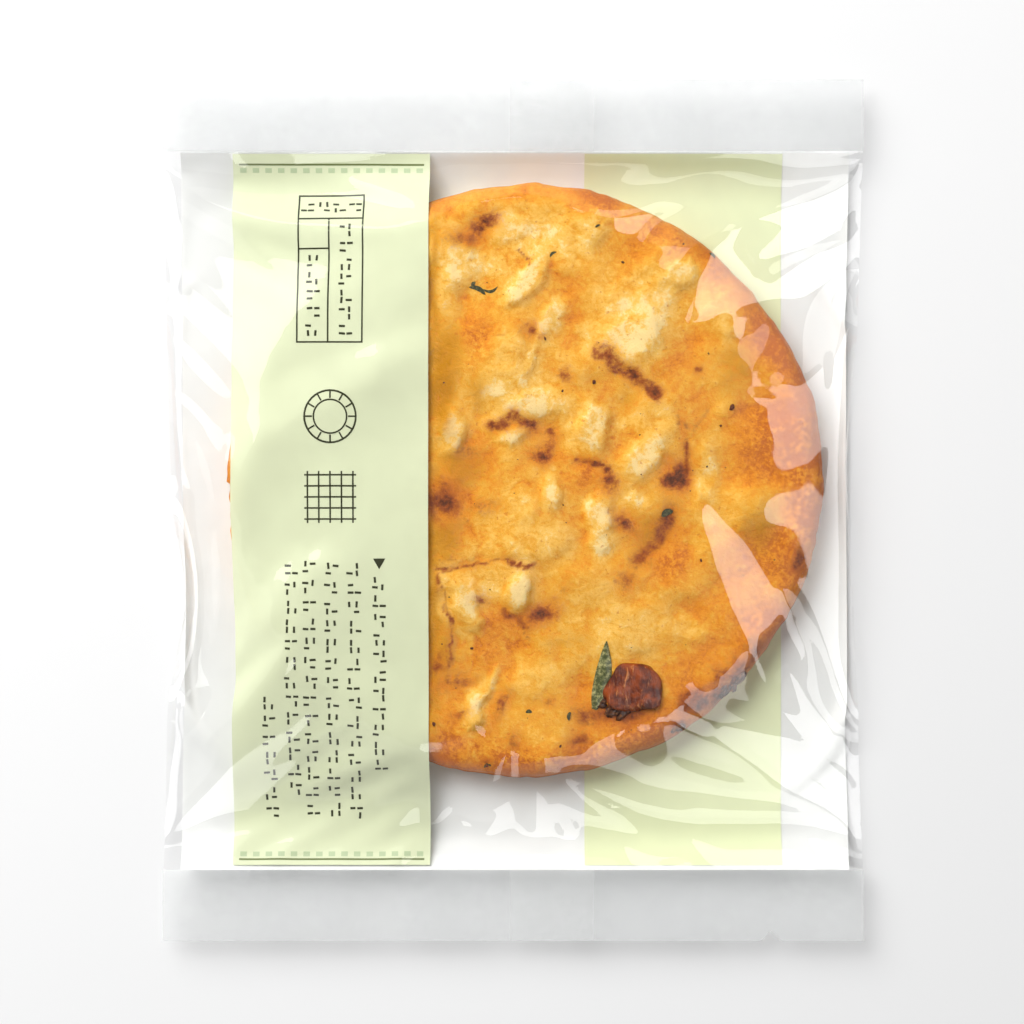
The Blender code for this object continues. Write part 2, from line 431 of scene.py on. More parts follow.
class SachetTube:
    """A flat tube of film, as columns round the tube and rows along it. Columns 0 to half are the front from
    its left fold to its right fold, and the rest are the back from right to left."""

    pull = 0.6
    stiffness = 0.25

    def __init__(self, half, rows):
        self.half = half
        self.columns = 2 * half
        self.rows = rows + 1
        self.step_across = PACK_WIDTH / half
        self.step_along = FILM_LENGTH / rows
        column = np.arange(self.columns)
        self.is_front = np.repeat(column <= half, self.rows)
        cells_from_left = np.where(column <= half, column, self.columns - column)
        self.flat_x = cells_from_left * self.step_across - PACK_WIDTH / 2
        self.flat_y = np.linspace(-PACK_LENGTH / 2, PACK_LENGTH / 2, self.rows)
        self.links = self.make_links()
        self.find_edges()

    def index(self, column, row):
        return (column % self.columns) * self.rows + row

    def make_links(self):
        """Links between neighbours: (ends, other ends, length, pull). No point comes twice in a batch."""
        column, row = np.meshgrid(np.arange(self.columns), np.arange(self.rows), indexing="ij")
        slant = math.hypot(self.step_across, self.step_along)
        has_next = row + 1 < self.rows
        batches = []

        def batch(chosen, column_step, row_step, length, pull):
            ends = self.index(column[chosen], row[chosen])
            others = self.index(column[chosen] + column_step, row[chosen] + row_step)
            batches.append((ends, others, length, pull))

        for part in (0, 1):
            batch(column % 2 == part, 1, 0, self.step_across, 1.0)
            batch((row % 2 == part) & has_next, 0, 1, self.step_along, 1.0)
            batch((row % 2 == part) & has_next, 1, 1, slant, self.pull)
            batch((row % 2 == part) & has_next, -1, 1, slant, self.pull)
        for part in (0, 1):
            off_fold = (column + 1) % self.half != 0
            batch(((column % 4) // 2 == part) & off_fold, 2, 0, 2 * self.step_across, self.stiffness)
            is_long = row + 2 < self.rows
            batch(((row % 4) // 2 == part) & is_long, 0, 2, 2 * self.step_along, self.stiffness)
        return batches

    def find_edges(self):
        """The side folds, the facing points of front and back, and the sealed ends."""
        row = np.arange(self.rows)
        self.folds = np.concatenate([self.index(0, row), self.index(self.half, row)])
        self.fold_places = np.concatenate([waist_at(self.flat_y, LEFT_WAIST) - PACK_WIDTH / 2,
                                           PACK_WIDTH / 2 - waist_at(self.flat_y, RIGHT_WAIST)])
        front = np.arange(1, self.half)[:, None]
        sealed = row[np.abs(self.flat_y) > SEAL_LINE - 1e-6]
        self.facing = (self.index(front, row).ravel(), self.index(self.columns - front, row).ravel())
        self.fused = (self.index(front, sealed).ravel(), self.index(self.columns - front, sealed).ravel())
        self.sealed = self.index(np.arange(self.columns)[:, None], sealed).ravel()
        column = np.arange(self.columns)
        self.ends = np.concatenate([self.index(column, 0), self.index(column, self.rows - 1)])
        self.end_places = np.repeat([-PACK_LENGTH / 2, PACK_LENGTH / 2], self.columns)

    def lay_over(self, surface):
        """Starts the film as a plain pillow over the cracker."""
        x, y = np.meshgrid(self.flat_x, self.flat_y, indexing="ij")
        waist = np.where(x < 0, waist_at(y, LEFT_WAIST), waist_at(y, RIGHT_WAIST))
        x = x - np.sign(x) * waist * np.abs(2 * x / PACK_WIDTH) ** 3
        reach, top, _ = surface(x, y)
        beyond = np.maximum(reach - CRACKER_RADIUS, 0.0)
        inside = np.maximum(np.minimum(PACK_WIDTH / 2 - waist - np.abs(x), SEAL_LINE - np.abs(y)), 0.0)
        full = np.where(beyond > 0, inside / (inside + beyond + 1e-9), 1.0)
        upper = SEAL_HEIGHT + (9.5 * MM - SEAL_HEIGHT) * full
        upper = np.where(beyond > 0, upper, np.maximum(top, 9.0 * MM))
        z = np.where(self.is_front.reshape(x.shape), upper, SEAL_HEIGHT * (1.0 - full))
        self.points = np.stack([x, y, z], axis=-1).reshape(-1, 3)
        self.speed = np.zeros_like(self.points)

    def swell(self, amount):
        """Moves each point outwards a little, as the trapped air pushes it."""
        grid = self.points.reshape(self.columns, self.rows, 3)
        normal = np.cross(np.roll(grid, -1, 0) - np.roll(grid, 1, 0), np.gradient(grid, axis=1))
        normal /= np.linalg.norm(normal, axis=-1, keepdims=True) + 1e-12
        self.points += amount * normal.reshape(-1, 3)

    def step(self, surface, damping, air, weight):
        """One step of the film's settling."""
        before = self.points.copy()
        self.points += self.speed * damping
        self.swell(air)
        self.points[:, 2] -= weight
        for ends, others, length, pull in self.links:
            start = self.points[ends]
            stop = self.points[others]
            between = stop - start
            now = np.sqrt(np.einsum("ij,ij->i", between, between)) + 1e-12
            move = (0.5 * pull * (now - length) / now)[:, None] * between
            self.points[ends] = start + move
            self.points[others] = stop - move
        self.keep_clear(surface)
        self.speed = self.points - before

    def keep_clear(self, surface):
        """Holds the folds to their outline and the seals shut, and film out of cracker and table."""
        points = self.points
        points[self.folds, 0] += 0.2 * (self.fold_places - points[self.folds, 0])
        points[self.ends, 1] += 0.2 * (self.end_places - points[self.ends, 1])
        middle = 0.5 * (points[self.fused[0]] + points[self.fused[1]])
        points[self.fused[0]] = middle
        points[self.fused[1]] = middle
        points[self.sealed, 2] += 0.05 * (SEAL_HEIGHT - points[self.sealed, 2])
        reach, top, low = surface(points[:, 0], points[:, 1])
        z = points[:, 2]
        over = (reach < CRACKER_RADIUS) & self.is_front & (z < top + CLEARANCE)
        z[over] = (top + CLEARANCE)[over]
        under = (reach < CRACKER_RADIUS) & ~self.is_front & (z > low - CLEARANCE)
        z[under] = (low - CLEARANCE)[under]
        np.maximum(z, LEAST_HEIGHT, out=z)
        push = np.maximum(z[self.facing[1]] + 0.12 * MM - z[self.facing[0]], 0.0) * 0.5
        z[self.facing[0]] += push
        z[self.facing[1]] -= push

    def finer(self):
        """The same film with twice the columns and rows."""
        fine = SachetTube(self.half * 2, (self.rows - 1) * 2)
        grid = self.points.reshape(self.columns, self.rows, 3)
        wide = np.zeros((fine.columns, self.rows, 3))
        wide[0::2] = grid
        wide[1::2] = 0.5 * (grid + np.roll(grid, -1, 0))
        full = np.zeros((fine.columns, fine.rows, 3))
        full[:, 0::2] = wide
        full[:, 1::2] = 0.5 * (wide[:, :-1] + wide[:, 1:])
        fine.points = full.reshape(-1, 3)
        fine.speed = np.zeros_like(fine.points)
        return fine


def surface_lookup():
    """A quick reading of the cracker's reach, top and underside, for the film to rest on."""
    pitch = 0.5 * MM
    span = 62 * MM
    count = int(2 * span / pitch) + 1
    side = np.linspace(-span, span, count)
    x, y = np.meshgrid(side + CRACKER_CENTRE.x, side + CRACKER_CENTRE.y, indexing="ij")
    _, top, low = cracker_levels(x, y, lumps(x, y) + fine_relief(x, y))
    obstacle = top + bits_height(x, y)
    top = obstacle.copy()
    for _ in range(500):
        near = (np.roll(top, 1, 0) + np.roll(top, -1, 0) + np.roll(top, 1, 1) + np.roll(top, -1, 1)) / 4
        top = np.maximum(obstacle, near)

    def surface(px, py):
        across = px - CRACKER_CENTRE.x
        along = py - CRACKER_CENTRE.y
        i = np.clip(np.rint((across + span) / pitch).astype(int), 0, count - 1)
        j = np.clip(np.rint((along + span) / pitch).astype(int), 0, count - 1)
        return np.hypot(across, along), top[i, j], low[i, j]

    return surface


def pleat_height(x, y):
    """How far the front film's pleats stand above where it settled."""
    total = np.zeros(np.shape(x))
    for crest, foot, slope, reach in PLEATS:
        from_crest = gap_to(x, y, crest)
        from_foot = gap_to(x, y, foot)
        on_face = is_within(x, y, crest + foot[::-1])
        behind = np.maximum(from_foot - from_crest, 0.0) * smooth(1.0 - from_crest / (reach * MM))
        total = np.maximum(total, slope * np.where(on_face, from_foot, behind))
    return total


def settle_film():
    """Settles the film over the cracker, from a coarse net to a fine one, and then pleats it."""
    random = np.random.default_rng(4)
    surface = surface_lookup()
    tube = SachetTube(FILM_COLUMNS, FILM_ROWS)
    tube.lay_over(surface)
    for level, steps in enumerate(SETTLING_STEPS):
        if level:
            tube = tube.finer()
        tube.points += random.normal(0.0, 0.25 * MM / (level + 1), tube.points.shape)
        for count in range(steps):
            damping = 0.97 if count < 0.7 * steps else 0.85
            tube.step(surface, damping, 0.62e-6 / 2 ** level, 1.1e-6 / 2 ** level)
    front = tube.points[tube.is_front]
    tube.points[tube.is_front, 2] += pleat_height(front[:, 0], front[:, 1])
    return tube


def spline_weights(share):
    """Weights of four neighbours, for a smooth curve through a row of points."""
    return ((1 - share) ** 3 / 6, (3 * share ** 3 - 6 * share ** 2 + 4) / 6,
            (-3 * share ** 3 + 3 * share ** 2 + 3 * share + 1) / 6, share ** 3 / 6)


class Film:
    """The settled film, which says where a flat point of its front or back has gone."""

    def __init__(self, tube):
        self.tube = tube
        grid = tube.points.reshape(tube.columns, tube.rows, 3)
        front = grid[:tube.half + 1]
        back = np.concatenate([grid[:1], grid[:tube.half - 1:-1]])
        self.nets = {"front": self.widened(front), "back": self.widened(back)}

    @staticmethod
    def widened(net):
        """The net with one more point all round, in line with its last two."""
        net = np.concatenate([2 * net[:1] - net[1:2], net, 2 * net[-1:] - net[-2:-1]])
        return np.concatenate([2 * net[:, :1] - net[:, 1:2], net, 2 * net[:, -1:] - net[:, -2:-1]], axis=1)

    def place(self, side, x, y):
        """Where flat points of one side have gone."""
        net = self.nets[side]
        column = np.clip((x + PACK_WIDTH / 2) / self.tube.step_across, 0.0, self.tube.half - 1e-9)
        row = np.clip((y / PACK_LENGTH + 0.5) * (self.tube.rows - 1), 0.0, self.tube.rows - 1 - 1e-9)
        i = np.floor(column).astype(int)
        j = np.floor(row).astype(int)
        across = spline_weights(column - i)
        along = spline_weights(row - j)
        found = 0.0
        for a in range(4):
            for b in range(4):
                found = found + (across[a] * along[b])[:, None] * net[i + a, j + b]
        return found

    def lifted(self, side, x, y, lift):
        """Where flat points have gone, raised off the film by lift, outwards from the sachet."""
        reach = 0.3 * MM
        right = self.place(side, x + reach, y) - self.place(side, x - reach, y)
        ahead = self.place(side, x, y + reach) - self.place(side, x, y - reach)
        normal = np.cross(right, ahead)
        normal /= np.linalg.norm(normal, axis=1, keepdims=True) + 1e-15
        if side == "back":
            normal = -normal
        return self.place(side, x, y) + normal * np.reshape(lift, (-1, 1))


kept = {}


def film():
    """The film, which is settled once and then shared by everything printed on it."""
    if "film" not in kept:
        kept["film"] = Film(settle_film())
    return kept["film"]


# ---------------------------------------------------------------- making objects
def finished(name, bm, materials, smooth_shading=True, sharp=None):
    """An object at the origin made from bm."""
    mesh = bpy.data.meshes.new(name)
    bm.to_mesh(mesh)
    bm.free()
    piece = bpy.data.objects.new(name, mesh)
    bpy.context.scene.collection.objects.link(piece)
    for material in materials:
        mesh.materials.append(material)
    if smooth_shading:
        mesh.shade_smooth()
    if sharp:
        mesh.set_sharp_from_angle(angle=math.radians(sharp))
    return piece


def hand_in(piece, replaces=False):
    """The piece rides with the sachet's one body, and with replaces the sachet's solid is hidden."""
    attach(piece, "root")
    if replaces:
        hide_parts("sachet")


def coordinates(bm):
    return np.array([vertex.co[:] for vertex in bm.verts]).reshape(-1, 3)


def move_to(bm, places):
    for vertex, place in zip(bm.verts, places):
        vertex.co = place


def wrap(bm, side, lift):
    """Moves flat shapes on to one side of the film. Their own height is added to the lift."""
    flat = coordinates(bm)
    move_to(bm, film().lifted(side, flat[:, 0], flat[:, 1], lift + flat[:, 2]))


# ---------------------------------------------------------------- materials
def new_material(name):
    material = bpy.data.materials.new(name)
    material.use_nodes = True
    material.node_tree.nodes.clear()
    return material, material.node_tree


def node(tree, kind, inputs=(), **settings):
    """A new node. Inputs are (socket, value or socket to link from) pairs."""
    made = tree.nodes.new(kind)
    for name, value in settings.items():
        setattr(made, name, value)
    for socket, value in inputs:
        if isinstance(value, bpy.types.NodeSocket):
            tree.links.new(value, made.inputs[socket])
        else:
            made.inputs[socket].default_value = value
    return made


def opaque(colour):
    return (*colour[:3], 1.0)


def mixed(tree, factor, first, second):
    """Colour that goes from first to second."""
    first = first if isinstance(first, bpy.types.NodeSocket) else opaque(first)
    second = second if isinstance(second, bpy.types.NodeSocket) else opaque(second)
    mix = node(tree, "ShaderNodeMix", [(0, factor), (6, first), (7, second)], data_type="RGBA",
               clamp_factor=True)
    return mix.outputs[2]


def maths(tree, operation, *values, clamp=False):
    made = node(tree, "ShaderNodeMath", list(enumerate(values)), operation=operation, use_clamp=clamp)
    return made.outputs[0]


def ranged(tree, value, low, high, to_low=0.0, to_high=1.0):
    """Value eased from one range to another."""
    made = node(tree, "ShaderNodeMapRange", [("Value", value), ("From Min", low), ("From Max", high),
                                             ("To Min", to_low), ("To Max", to_high)],
                interpolation_type="SMOOTHSTEP")
    return made.outputs[0]


def noise(tree, place, size, detail=2.0, roughness=0.5, distortion=0.0):
    """Noise whose grain is about size metres across."""
    made = node(tree, "ShaderNodeTexNoise", [("Vector", place), ("Scale", 1.0 / size), ("Detail", detail),
                                             ("Roughness", roughness), ("Distortion", distortion)])
    return made.outputs[0]


def painted(tree, name):
    """A value kept at each point of the piece's mesh."""
    return node(tree, "ShaderNodeAttribute", attribute_name=name).outputs["Fac"]


def object_place(tree):
    return node(tree, "ShaderNodeTexCoord").outputs["Object"]


def closed(tree, shader):
    output = node(tree, "ShaderNodeOutputMaterial")
    tree.links.new(shader, output.inputs["Surface"])


def film_shine(tree, least):
    """How much a film's two faces reflect, which rises where it is seen aslant."""
    facing = node(tree, "ShaderNodeLayerWeight", [("Blend", 0.5)]).outputs["Facing"]
    return maths(tree, "MULTIPLY_ADD", maths(tree, "POWER", facing, 5.0), 1.0 - least, least)


def clear_film_material(settings):
    material, tree = new_material("clear_film")
    gloss = node(tree, "ShaderNodeBsdfGlossy", [("Color", (1.0, 1.0, 1.0, 1.0)), ("Roughness", 0.035)])
    clear = node(tree, "ShaderNodeBsdfTransparent", [("Color", (1.0, 1.0, 1.0, 1.0))])
    mix = node(tree, "ShaderNodeMixShader", [(0, film_shine(tree, settings.film_shine)),
                                             (1, clear.outputs[0]), (2, gloss.outputs[0])])
    closed(tree, mix.outputs[0])
    return material


def milky_material(name, colour, cover, ribs=0.0):
    """Film with a thin white print or a heat seal in it, which lets part of the light through."""
    material, tree = new_material(name)
    place = object_place(tree)
    cloud = noise(tree, place, 14 * MM, 3.0)
    shader = node(tree, "ShaderNodeBsdfPrincipled", [("Base Color", opaque(colour)), ("Roughness", 0.28)])
    if ribs:
        wave = node(tree, "ShaderNodeTexWave", [("Vector", place), ("Scale", ribs), ("Distortion", 0.0)],
                    bands_direction="X")
        bump = node(tree, "ShaderNodeBump", [("Strength", 0.35), ("Distance", 0.05 * MM),
                                             ("Height", wave.outputs["Fac"])])
        tree.links.new(bump.outputs[0], shader.inputs["Normal"])
    clear = node(tree, "ShaderNodeBsdfTransparent", [("Color", (1.0, 1.0, 1.0, 1.0))])
    amount = ranged(tree, cloud, 0.3, 0.7, cover - 0.04, cover + 0.04)
    mix = node(tree, "ShaderNodeMixShader", [(0, amount), (1, clear.outputs[0]), (2, shader.outputs[0])])
    closed(tree, mix.outputs[0])
    return material


def printed_material(name, colour, cover):
    """Smooth ink on the film's inner face, very slightly uneven."""
    material, tree = new_material(name)
    place = object_place(tree)
    uneven = ranged(tree, noise(tree, place, 22 * MM, 3.0), 0.3, 0.7)
    tone = mixed(tree, uneven, [c * 0.985 for c in colour[:3]], [min(1.0, c * 1.01) for c in colour[:3]])
    shader = node(tree, "ShaderNodeBsdfPrincipled", [("Base Color", tone), ("Roughness", 0.45)])
    clear = node(tree, "ShaderNodeBsdfTransparent", [("Color", (1.0, 1.0, 1.0, 1.0))])
    amount = ranged(tree, noise(tree, place, 5 * MM, 2.0), 0.3, 0.7, cover - 0.015, cover + 0.015)
    mix = node(tree, "ShaderNodeMixShader", [(0, amount), (1, clear.outputs[0]), (2, shader.outputs[0])])
    closed(tree, mix.outputs[0])
    return material


def cracker_material(settings):
    """Baked rice dough with a soy glaze, from its cream blisters to its scorched spots."""
    material, tree = new_material("rice_cracker")
    place = object_place(tree)
    fine = maths(tree, "SUBTRACT", noise(tree, place, 0.34 * MM, 3.0, 0.7), 0.5)
    grain = maths(tree, "SUBTRACT", noise(tree, place, 0.9 * MM, 4.0, 0.7), 0.5)
    mottle = maths(tree, "SUBTRACT", noise(tree, place, 3.0 * MM, 5.0, 0.68, 0.4), 0.5)
    broad = maths(tree, "SUBTRACT", noise(tree, place, 11.0 * MM, 4.0, 0.6, 0.3), 0.5)

    def edged(name, low, high, mottle_share, grain_share):
        """A painted value with uneven, grainy edges."""
        uneven = maths(tree, "MULTIPLY_ADD", mottle, mottle_share, 1.0)
        uneven = maths(tree, "MULTIPLY_ADD", grain, grain_share, uneven)
        return ranged(tree, maths(tree, "MULTIPLY", painted(tree, name), uneven), low, high)

    toasted = edged("toasted", 0.05, 1.0, 2.6, 1.2)
    puffed = edged("puffed", 0.05, 0.95, 1.8, 0.8)
    # How light the dough is: 0 is deep orange and 1 is cream.
    tone = maths(tree, "MULTIPLY_ADD", painted(tree, "swell"), 0.14, 0.43)
    tone = maths(tree, "MULTIPLY_ADD", broad, 0.75, tone)
    tone = maths(tree, "MULTIPLY_ADD", mottle, 1.0, tone)
    tone = maths(tree, "MULTIPLY_ADD", grain, 0.55, tone)
    tone = maths(tree, "MULTIPLY_ADD", fine, 0.34, tone)
    tone = maths(tree, "MULTIPLY_ADD", puffed, 0.44, tone)
    tone = maths(tree, "MULTIPLY_ADD", toasted, -0.30, tone)
    # Toasted dough is speckled with small darker grains.
    speckle = maths(tree, "MULTIPLY", maths(tree, "MULTIPLY", grain, toasted), 0.9)
    tone = maths(tree, "ADD", tone, speckle, clamp=True)
    colour = mixed(tree, ranged(tree, tone, 0.02, 0.30), settings.toast, settings.orange)
    colour = mixed(tree, ranged(tree, tone, 0.22, 0.50), colour, settings.gold)
    colour = mixed(tree, ranged(tree, tone, 0.44, 0.74), colour, settings.light_gold)
    colour = mixed(tree, ranged(tree, tone, 0.72, 1.0), colour, settings.cream)
    # Olive-gold of thick glaze, which also paints the front band's shadow beside its edge.
    colour = mixed(tree, edged("glazed", 0.05, 1.0, 1.8, 0.8), colour, settings.olive)
    halo = maths(tree, "MULTIPLY", edged("halo", 0.10, 1.2, 3.0, 2.4), 0.85)
    colour = mixed(tree, halo, colour, settings.rust)
    colour = mixed(tree, edged("scorched", 0.14, 0.86, 2.2, 1.7), colour, settings.brown)
    colour = mixed(tree, edged("scorched", 0.66, 1.30, 1.8, 2.2), colour, settings.char)
    specks = ranged(tree, noise(tree, place, 0.8 * MM, 2.0), 0.66, 0.74)
    colour = mixed(tree, maths(tree, "MULTIPLY", specks, 0.5), colour, settings.rust)

    shine = ranged(tree, noise(tree, place, 3.0 * MM, 3.0), 0.3, 0.7, 0.28, 0.44)
    roughness = maths(tree, "MULTIPLY_ADD", painted(tree, "scorched"), 0.12, shine)
    height = maths(tree, "MULTIPLY_ADD", mottle, 1.6, maths(tree, "MULTIPLY", grain, 0.7))
    height = maths(tree, "MULTIPLY_ADD", fine, 0.22, height)
    bump = node(tree, "ShaderNodeBump", [("Strength", 0.8), ("Distance", 0.32 * MM), ("Height", height)])
    shader = node(tree, "ShaderNodeBsdfPrincipled", [
        ("Base Color", colour), ("Roughness", roughness), ("Normal", bump.outputs[0]),
        ("Specular IOR Level", 0.35), ("Subsurface Weight", 0.10), ("Subsurface Radius", (1.0, 0.6, 0.3)),
        ("Subsurface Scale", 1.2 * MM)])
    closed(tree, shader.outputs[0])
    return material


def baked_bit_material(name, dark, pale, size, roughness, bump_distance):
    """Small baked or dried bit: one colour that turns to another in streaks and flecks."""
    material, tree = new_material(name)
    place = object_place(tree)
    flecks = noise(tree, place, size, 4.0, 0.7)
    colour = mixed(tree, ranged(tree, flecks, 0.42, 0.68), dark, pale)
    bump = node(tree, "ShaderNodeBump", [("Strength", 0.6), ("Distance", bump_distance), ("Height", flecks)])
    shader = node(tree, "ShaderNodeBsdfPrincipled", [("Base Color", colour), ("Roughness", roughness),
                                                     ("Normal", bump.outputs[0])])
    closed(tree, shader.outputs[0])
    return material


# ---------------------------------------------------------------- settings
def colour_setting(name, description, default):
    return bpy.props.FloatVectorProperty(name=name, description=description, default=default, size=3, min=0.0,
                                         max=1.0, subtype="COLOR")


def length_setting(name, description, default):
    return bpy.props.FloatProperty(name=name, description=description, default=default, min=0.0,
                                   unit="LENGTH", precision=4)


class CrackerSettings(bpy.types.PropertyGroup):
    """Colours and sizes of the cracker and what is baked into it."""

    cells: bpy.props.IntProperty(name="Cells across", description="Cells across the cracker's top",
                                 default=208, min=24, max=212)
    toast: colour_setting("Toast", "Well-baked dough", linear(196, 104, 26))
    orange: colour_setting("Orange", "Toasted dough", linear(228, 142, 30))
    gold: colour_setting("Gold", "Baked dough", linear(234, 168, 52))
    light_gold: colour_setting("Light gold", "Dough that is less baked", linear(244, 192, 88))
    cream: colour_setting("Cream", "Blisters", linear(250, 218, 148))
    # Also the colour of the painted shadow beside the front band.
    olive: colour_setting("Olive gold", "Thick glaze", linear(198, 132, 8))
    rust: colour_setting("Rust", "Reddish dough round a scorched spot", linear(196, 100, 24))
    brown: colour_setting("Brown", "Edge of a scorched spot", linear(150, 74, 24))
    char: colour_setting("Char", "Middle of a scorched spot", linear(84, 42, 20))
    amber: colour_setting("Amber", "Glossy glazed piece", linear(148, 66, 24))
    amber_dark: colour_setting("Dark amber", "Hollows of the glazed piece", linear(84, 32, 16))
    amber_light: colour_setting("Light amber", "Ridges of the glazed piece", linear(206, 128, 66))


class SachetSettings(bpy.types.PropertyGroup):
    """Sizes and colours of the film and its print."""

    film_shine: bpy.props.FloatProperty(name="Film shine", description="Reflection of film seen straight on",
                                        default=0.065, min=0.0, max=1.0, subtype="FACTOR")
    cell: length_setting("Film cell", "Size of the cells that the film is made of", 0.75 * MM)
    white: colour_setting("White", "Thin white print on the back film", linear(249, 250, 247))
    # The seal's haze, darkened to grey as painted shade of the floor seen through the seals.
    seal_grey_and_shade: colour_setting("Seal grey", "Film that is sealed at the ends", linear(226, 228, 228))
    band_green: colour_setting("Band green", "Front printed band", linear(222, 228, 191))
    # Lighter than the front band's green: painted light that lifts the back band out of its shade and stands
    # for the film's veil on it.
    back_green_painted_light: colour_setting("Back band green", "Back printed band", linear(240, 247, 200))
    ink: colour_setting("Ink", "Dark print", linear(52, 54, 30))
    border_ink: colour_setting("Border ink", "Border lines", linear(110, 122, 70))
    border_pale: colour_setting("Pale border ink", "Row of small border marks", linear(190, 205, 165))
    seam_width: length_setting("Seam width", "Width of the flap on the back", 15.6 * MM)


class StageSettings(bpy.types.PropertyGroup):
    """Floor, light and camera."""

    floor: colour_setting("Floor", "Colour of the floor", (0.82, 0.82, 0.82))
    key_power: bpy.props.FloatProperty(name="Key light", description="Power of the large soft light",
                                       default=13.2, min=0.0, unit="POWER")
    card_power: bpy.props.FloatProperty(name="Gloss cards", default=15.0, min=0.0, unit="POWER",
                                        description="Power of the cards that only gloss shows")
    tent: bpy.props.FloatProperty(name="Light tent", description="Brightness all round", default=0.46,
                                  min=0.0)


# ---------------------------------------------------------------- the cracker
def disc_from_square(x, y):
    """Spreads a square of points from -1 to 1 into a round disc."""
    return x * np.sqrt(1.0 - y * y / 2.0), y * np.sqrt(1.0 - x * x / 2.0)


def cracker_sheet(bm, cells):
    """A square net of the cracker's top or underside, and its border edges."""
    made = bmesh.ops.create_grid(bm, x_segments=cells, y_segments=cells, size=1.0)
    corners = set(made["verts"])
    return made["verts"], [edge for edge in bm.edges if edge.is_boundary and edge.verts[0] in corners]


def make_cracker(settings):
    bm = bmesh.new()
    upper, upper_rim = cracker_sheet(bm, settings.cells)
    lower, lower_rim = cracker_sheet(bm, settings.cells)
    lower_set = set(lower)
    bmesh.ops.translate(bm, verts=lower, vec=(0.0, 0.0, -1.0))
    bmesh.ops.bridge_loops(bm, edges=upper_rim + lower_rim)
    is_lower = np.array([vertex in lower_set for vertex in bm.verts])
    square = coordinates(bm)
    disc_x, disc_y = disc_from_square(square[:, 0], square[:, 1])
    angle = np.arctan2(disc_y, disc_x)
    share = np.hypot(disc_x, disc_y)
    # The rings close up towards the rim, where the cracker turns over.
    share = np.sin(share * math.pi / 2) * 0.25 + share * 0.75
    reach = share * rim_radius(angle)
    x = CRACKER_CENTRE.x + reach * np.cos(angle)
    y = CRACKER_CENTRE.y + reach * np.sin(angle)
    _, top, _ = cracker_levels(x, y, lumps(x, y) + fine_relief(x, y))
    _, _, low = cracker_levels(x, y, 0.0)
    under = 0.35 * MM * (lattice_noise(x, y, 9 * MM, 31) + 0.5 * lattice_noise(x, y, 4 * MM, 32) + 1.2)
    low = low + under * smooth((CRACKER_RADIUS - reach) / RIM_ROUNDING)
    move_to(bm, np.stack([x, y, np.where(is_lower, low, top)], axis=1))
    bmesh.ops.recalc_face_normals(bm, faces=bm.faces)
    paint(bm, x, y, is_lower)
    piece = finished("rice_cracker", bm, [cracker_material(settings)])
    hand_in(piece)
    return piece


def paint(bm, x, y, is_lower):
    """Keeps at each point how puffed, toasted, glazed and scorched it is. The glazed value also holds painted
    shadow of the front band.
    """
    warped_x, warped_y = ragged(x, y, 1.0 * MM, 2.6 * MM, 61)
    blisters = [(*mark[:2], 1.25 * mark[2], 1.25 * mark[3], *mark[4:]) for mark in PUFFS]
    puffed = depth_of(warped_x, warped_y, blisters)
    toasted = depth_of(warped_x, warped_y, TOASTED)
    # Glaze, with painted shadow of the front band along its right edge.
    glazed = depth_of(warped_x, warped_y, GLAZE_AND_BAND_SHADOW)
    scorch_x, scorch_y = ragged(warped_x, warped_y, 0.5 * MM, 1.0 * MM, 65)
    scorched = depth_of(scorch_x, scorch_y, SCORCHED, 1.1)
    wider = [(*mark[:2], 1.5 * mark[2] + 1.0, 1.6 * mark[3] + 1.0, *mark[4:]) for mark in SCORCHED]
    halo = depth_of(warped_x, warped_y, wider)
    for points, width, depth, _ in STREAKS:
        uneven = 0.95 + 0.35 * lattice_noise(x, y, 2.2 * MM, 66)
        line = depth * uneven * stroke(scorch_x, scorch_y, points, 1.05 * width)
        scorched = np.maximum(scorched, 1.1 * line)
        halo = np.maximum(halo, 0.8 * depth * stroke(warped_x, warped_y, points, 1.8 * width + 0.6))
    swell = lattice_noise(x, y, 8 * MM, 62)
    reach = np.hypot(x - CRACKER_CENTRE.x, y - CRACKER_CENTRE.y) / CRACKER_RADIUS
    angle = np.arctan2(y - CRACKER_CENTRE.y, x - CRACKER_CENTRE.x)
    lower_right = 0.5 + 0.5 * np.cos(angle - math.radians(-25))
    baked = 0.75 * smooth((reach - 0.42) / 0.55) * lower_right + 0.4 * smooth((reach - 0.84) / 0.16)
    toasted = np.maximum(toasted, baked * (0.9 + 0.5 * swell))
    # The underside is baked by the same fire, in other places.
    patchy = lattice_noise(x, y, 7 * MM, 63)
    puffed = np.where(is_lower, np.clip(patchy, 0, 1), puffed)
    toasted = np.where(is_lower, np.clip(0.4 + swell, 0, 1), toasted)
    scorched = np.where(is_lower, np.clip(1.6 * lattice_noise(x, y, 5 * MM, 64) - 0.8, 0, 1), scorched)
    relief = np.clip(lumps(x, y) / (0.9 * MM), -1.0, 1.0)
    halo = np.where(is_lower, smooth(1.4 * scorched), halo)
    # The rim is browner, in patches, and brownest at the lower right.
    rim = smooth((reach - 0.90) / 0.10) * (0.30 + 0.60 * lower_right)
    halo = np.maximum(halo, rim * (0.75 + 0.5 * lattice_noise(x, y, 3 * MM, 67)))
    values = {"puffed": puffed, "toasted": toasted, "glazed": glazed, "scorched": scorched, "halo": halo,
              "swell": relief}
    for name, value in values.items():
        layer = bm.verts.layers.float.new(name)
        for vertex, amount in zip(bm.verts, value):
            vertex[layer] = float(amount)


def top_at(x, y):
    """Height of the cracker's top at one point."""
    px, py = np.array([x]), np.array([y])
    return float(cracker_levels(px, py, lumps(px, py))[1][0])


